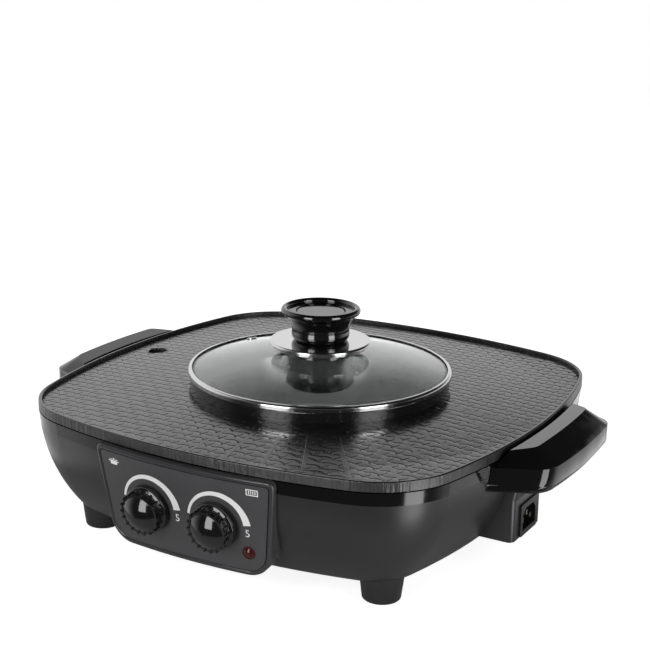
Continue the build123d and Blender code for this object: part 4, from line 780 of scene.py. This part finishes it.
def print_crescent(name, centre, ink):
    """The crescent that widens from a dial's low end to its high end."""
    look = bpy.context.scene.cooker_print
    strips = []
    for i in range(CRESCENT_STEPS):
        corners = []
        for step, outer in ((i, True), (i + 1, True), (i + 1, False), (i, False)):
            share = step / CRESCENT_STEPS
            angle = CRESCENT_START + (CRESCENT_END - CRESCENT_START) * share
            width = look.thin + (look.thick - look.thin) * share ** CRESCENT_SWELL
            radius = look.arc_radius if outer else look.arc_radius - width
            corners.append((centre[0] + radius * math.cos(angle), centre[1] + radius * math.sin(angle)))
        strips.append(corners)
    print_flat(name, strips, ink)


def print_numeral(name, text, centre, ink):
    """A plain numeral beside a dial."""
    look = bpy.context.scene.cooker_print
    curve = bpy.data.curves.new(name, "FONT")
    curve.body = text
    curve.align_x = "CENTER"
    curve.align_y = "CENTER"
    curve.size = look.numeral / DIGIT_SHARE
    holder = bpy.data.objects.new(name + "_curve", curve)
    bpy.context.scene.collection.objects.link(holder)
    bpy.context.view_layer.update()
    mesh = bpy.data.meshes.new_from_object(holder.evaluated_get(bpy.context.evaluated_depsgraph_get()))
    outlines = [[(centre[0] + mesh.vertices[i].co.x, centre[1] + mesh.vertices[i].co.y)
                 for i in face.vertices] for face in mesh.polygons]
    bpy.data.objects.remove(holder)
    bpy.data.meshes.remove(mesh)
    print_flat(name, outlines, ink)


def bar(left, bottom, right, top):
    """A printed bar's four corners, from sizes in millimetres."""
    corners = ((left, bottom), (right, bottom), (right, top), (left, top))
    return [(u * MM, v * MM) for u, v in corners]


def moved(outlines, centre):
    """Outlines carried to a centre on the panel."""
    return [[(u + centre[0], v + centre[1]) for u, v in outline] for outline in outlines]


def print_pot(name, centre, ink):
    """A small sign of a lidded pot."""
    outlines = [
        [(-3.4 * MM, 0.6 * MM), (-2.9 * MM, -2.3 * MM), (2.9 * MM, -2.3 * MM), (3.4 * MM, 0.6 * MM)],
        bar(-4.9, -0.2, -3.6, 0.5), bar(3.6, -0.2, 4.9, 0.5),
        bar(-3.8, 1.1, 3.8, 1.7), bar(-0.7, 2.0, 0.7, 2.7),
    ]
    print_flat(name, moved(outlines, centre), ink)


def print_grill(name, centre, ink):
    """A small sign of a grill plate with its bars."""
    outlines = [bar(-4.6, 1.7, 4.6, 2.4), bar(-4.6, -2.4, 4.6, -1.7), bar(-4.6, -1.7, -3.9, 1.7),
                bar(3.9, -1.7, 4.6, 1.7)]
    outlines += [bar(x - 0.35, -1.2, x + 0.35, 1.2) for x in (-2.4, -0.8, 0.8, 2.4)]
    print_flat(name, moved(outlines, centre), ink)


class COOKER_OT_dials(bpy.types.Operator):
    """Polishes the two dials and turns their shafts bright"""
    bl_idname = "cooker.dials"
    bl_label = "Dials"

    def execute(self, context):
        dress(polished_phenolic("polished_abs_dials", 0.8), "pot_dial", "grill_dial")
        round_edges(0.25 * MM, "pot_dial", "grill_dial")
        dress(plated_steel(), "pot_shaft", "grill_shaft")
        return {"FINISHED"}


class COOKER_OT_inlet(bpy.types.Operator):
    """Finishes the power inlet and its blades"""
    bl_idname = "cooker.inlet"
    bl_label = "Power inlet"

    def execute(self, context):
        look = context.scene.cooker_finish
        dress(moulded_black("moulded_nylon_inlet", 0.3, look.coating_color), "inlet_socket")
        dress(plated_brass(), "inlet_pins")
        return {"FINISHED"}


class COOKER_OT_inner_parts(bpy.types.Operator):
    """Finishes what the base holds: liner, heaters, thermostats, drawer and lamp holder"""
    bl_idname = "cooker.inner_parts"
    bl_label = "Inner parts"

    def execute(self, context):
        dress(pressed_aluminium(), "liner")
        dress(sheathed_heater(), "grill_heater", "pot_heater")
        dress(fired_ceramic(), "heater_bushes", "pot_thermostat", "grill_thermostat")
        dress(plated_steel(), "heater_clips", "drawer_guide", "thermostat_bracket")
        dress(white_nylon(), "lamp_holder")
        look = context.scene.cooker_finish
        dress(moulded_black("moulded_abs_drawer", 0.35, look.housing_color), "grease_drawer")
        return {"FINISHED"}


class COOKER_OT_stage(bpy.types.Operator):
    """Sets the photograph's camera, the floor, the backdrop and two softboxes"""
    bl_idname = "cooker.stage"
    bl_label = "Stage"

    def execute(self, context):
        studio = context.scene.cooker_studio
        context.scene.view_settings.view_transform = "Standard"
        set_camera(studio)
        set_floor(studio)
        set_world(studio)
        set_softbox(studio, studio.left_turn, studio.left_foot, "left_softbox")
        set_softbox(studio, studio.right_turn, studio.right_foot, "right_softbox")
        return {"FINISHED"}


def camera_back(studio):
    """Unit vector from the object to the camera."""
    a, e = studio.azimuth, studio.elevation
    return Vector((math.sin(a) * math.cos(e), -math.cos(a) * math.cos(e), math.sin(e)))


def set_camera(studio):
    """The photograph's viewpoint."""
    back = camera_back(studio)
    right = Vector((math.cos(studio.azimuth), math.sin(studio.azimuth), 0))
    up = back.cross(right)
    c, s = math.cos(studio.roll), math.sin(studio.roll)
    right, up = right * c + up * s, up * c - right * s
    target = Vector((0, AXIS_Y, studio.target_height))
    place = target + back * studio.distance + right * studio.aim_right + up * studio.aim_up
    data = bpy.data.cameras.new("photo_camera")
    data.lens = studio.focal_length
    data.sensor_width = 36
    camera = bpy.data.objects.new("photo_camera", data)
    bpy.context.scene.collection.objects.link(camera)
    turn = Matrix((right, up, back)).transposed().to_4x4()
    camera.matrix_world = Matrix.Translation(place) @ turn
    bpy.context.scene.camera = camera


def set_floor(studio):
    """A pale floor that keeps the object's soft shadow. Mirrors and lamps meet it as a round table."""
    corners = [(x * FLOOR_HALF, y * FLOOR_HALF, 0) for x, y in ((-1, -1), (1, -1), (1, 1), (-1, 1))]
    mesh = bpy.data.meshes.new("floor")
    mesh.from_pydata(corners, [], [(0, 1, 2, 3)])
    floor = bpy.data.objects.new("floor", mesh)
    bpy.context.scene.collection.objects.link(floor)
    material = bpy.data.materials.new("white_paper")
    material.use_nodes = True
    tree = material.node_tree
    tree.nodes.clear()
    paper = add(tree, "ShaderNodeBsdfDiffuse", {"Color": linear("#e6e6e6")})
    looked = looked_at(tree)
    place = add(tree, "ShaderNodeNewGeometry")
    away = add(tree, "ShaderNodeVectorMath", {0: (place, "Position")}, operation="LENGTH")
    far = add(tree, "ShaderNodeMapRange",
              {"Value": (away, "Value"), "From Min": studio.table, "From Max": studio.table * 2,
               "To Min": NEAR_GLOW, "To Max": 1.0})
    glow = add(tree, "ShaderNodeMath", {0: (looked, 0), 1: (far, "Result")}, operation="MULTIPLY")
    shine = add(tree, "ShaderNodeEmission", {"Strength": (glow, 0)})
    shown = add(tree, "ShaderNodeAddShader", {0: (paper, 0), 1: (shine, 0)})
    past = add(tree, "ShaderNodeMapRange",
               {"Value": (away, "Value"), "From Min": studio.table, "From Max": studio.table + TABLE_FADE})
    unseen = add(tree, "ShaderNodeMath", {0: (past, "Result"), 1: (looked, 0)}, operation="SUBTRACT",
                 use_clamp=True)
    clear = add(tree, "ShaderNodeBsdfTransparent")
    both = add(tree, "ShaderNodeMixShader", {0: (unseen, 0), 1: (shown, 0), 2: (clear, 0)})
    add(tree, "ShaderNodeOutputMaterial", {"Surface": (both, 0)})
    mesh.materials.append(material)


def looked_at(tree):
    """One where the camera looks straight or through glass, else zero."""
    path = add(tree, "ShaderNodeLightPath")
    return add(tree, "ShaderNodeMath", {0: (path, "Is Camera Ray"), 1: (path, "Is Transmission Ray")},
               operation="MAXIMUM")


def set_world(studio):
    """A white backdrop that fades upwards into a dark room, and is plain white where it is looked at."""
    world = bpy.data.worlds.new("studio")
    bpy.context.scene.world = world
    world.use_nodes = True
    tree = world.node_tree
    tree.nodes.clear()
    place = add(tree, "ShaderNodeTexCoord")
    back = camera_back(studio)
    flat = Vector((back.x, back.y, 0)).normalized()
    toward = add(tree, "ShaderNodeVectorMath", {0: (place, "Generated"), 1: flat}, operation="DOT_PRODUCT")
    side = add(tree, "ShaderNodeMapRange",
               {"Value": (toward, "Value"), "From Min": -SIDE_REACH, "From Max": SIDE_REACH,
                "To Min": 1.0, "To Max": SIDE_LEVEL},
               interpolation_type="SMOOTHSTEP")
    leaning = Vector((-flat.y, flat.x, 0)) * studio.backdrop_lean + Vector((0, 0, 1))
    level = add(tree, "ShaderNodeVectorMath", {0: (place, "Generated"), 1: leaning}, operation="DOT_PRODUCT")
    height = add(tree, "ShaderNodeMapRange",
                 {"Value": (level, "Value"), "From Min": studio.white_below, "From Max": studio.dark_above,
                  "To Min": 1.0, "To Max": ROOM_LEVEL})
    both = add(tree, "ShaderNodeMath", {0: (side, "Result"), 1: (height, "Result")}, operation="MULTIPLY")
    strength = add(tree, "ShaderNodeMath", {0: (both, 0), 1: (looked_at(tree), 0)}, operation="MAXIMUM")
    sky = add(tree, "ShaderNodeBackground", {"Color": linear("#ffffff"), "Strength": (strength, 0)})
    add(tree, "ShaderNodeOutputWorld", {"Surface": (sky, 0)})


def set_softbox(studio, turn, foot, name):
    """One tall softbox beside the camera, from its foot up to the height that both reach."""
    angle = studio.azimuth + turn
    height = studio.box_top - foot
    away = Vector((math.sin(angle), -math.cos(angle), 0))
    place = Vector((0, AXIS_Y, 0)) + away * studio.box_distance + Vector((0, 0, foot + height / 2))
    data = bpy.data.lights.new(name, "AREA")
    data.shape = "RECTANGLE"
    data.size = studio.box_width
    data.size_y = height
    data.energy = studio.box_power * studio.box_width * height
    light = bpy.data.objects.new(name, data)
    light.location = place
    light.rotation_euler = away.to_track_quat("Z", "Y").to_euler()
    bpy.context.scene.collection.objects.link(light)


class COOKER_PT_tools(bpy.types.Panel):
    """Lists the cooker's operators"""
    bl_idname = "COOKER_PT_tools"
    bl_label = "Hot pot grill combo"
    bl_space_type = "VIEW_3D"
    bl_region_type = "UI"
    bl_category = "Cooker"

    def draw(self, context):
        for step in STEPS:
            self.layout.operator(step.bl_idname)


GROUPS = {"cooker_finish": CookerFinish, "cooker_weave": PlateWeave, "cooker_print": PanelPrint,
          "cooker_studio": Studio}
STEPS = (COOKER_OT_casting, COOKER_OT_lid, COOKER_OT_base, COOKER_OT_handles, COOKER_OT_panel,
         COOKER_OT_dials, COOKER_OT_inlet, COOKER_OT_inner_parts, COOKER_OT_stage)


def register():
    """Registers the classes and puts the settings on the scene."""
    for group in (*GROUPS.values(), *STEPS, COOKER_PT_tools):
        bpy.utils.register_class(group)
    for name, group in GROUPS.items():
        setattr(bpy.types.Scene, name, PointerProperty(type=group))


def unregister():
    """Takes the settings and the classes away again."""
    for name in GROUPS:
        delattr(bpy.types.Scene, name)
    for group in (COOKER_PT_tools, *reversed(STEPS), *reversed(list(GROUPS.values()))):
        bpy.utils.unregister_class(group)


def main():
    """Runs every step in order."""
    register()
    for step in STEPS:
        area, action = step.bl_idname.split(".")
        getattr(getattr(bpy.ops, area), action)()


if __name__ == "__main__":
    main()
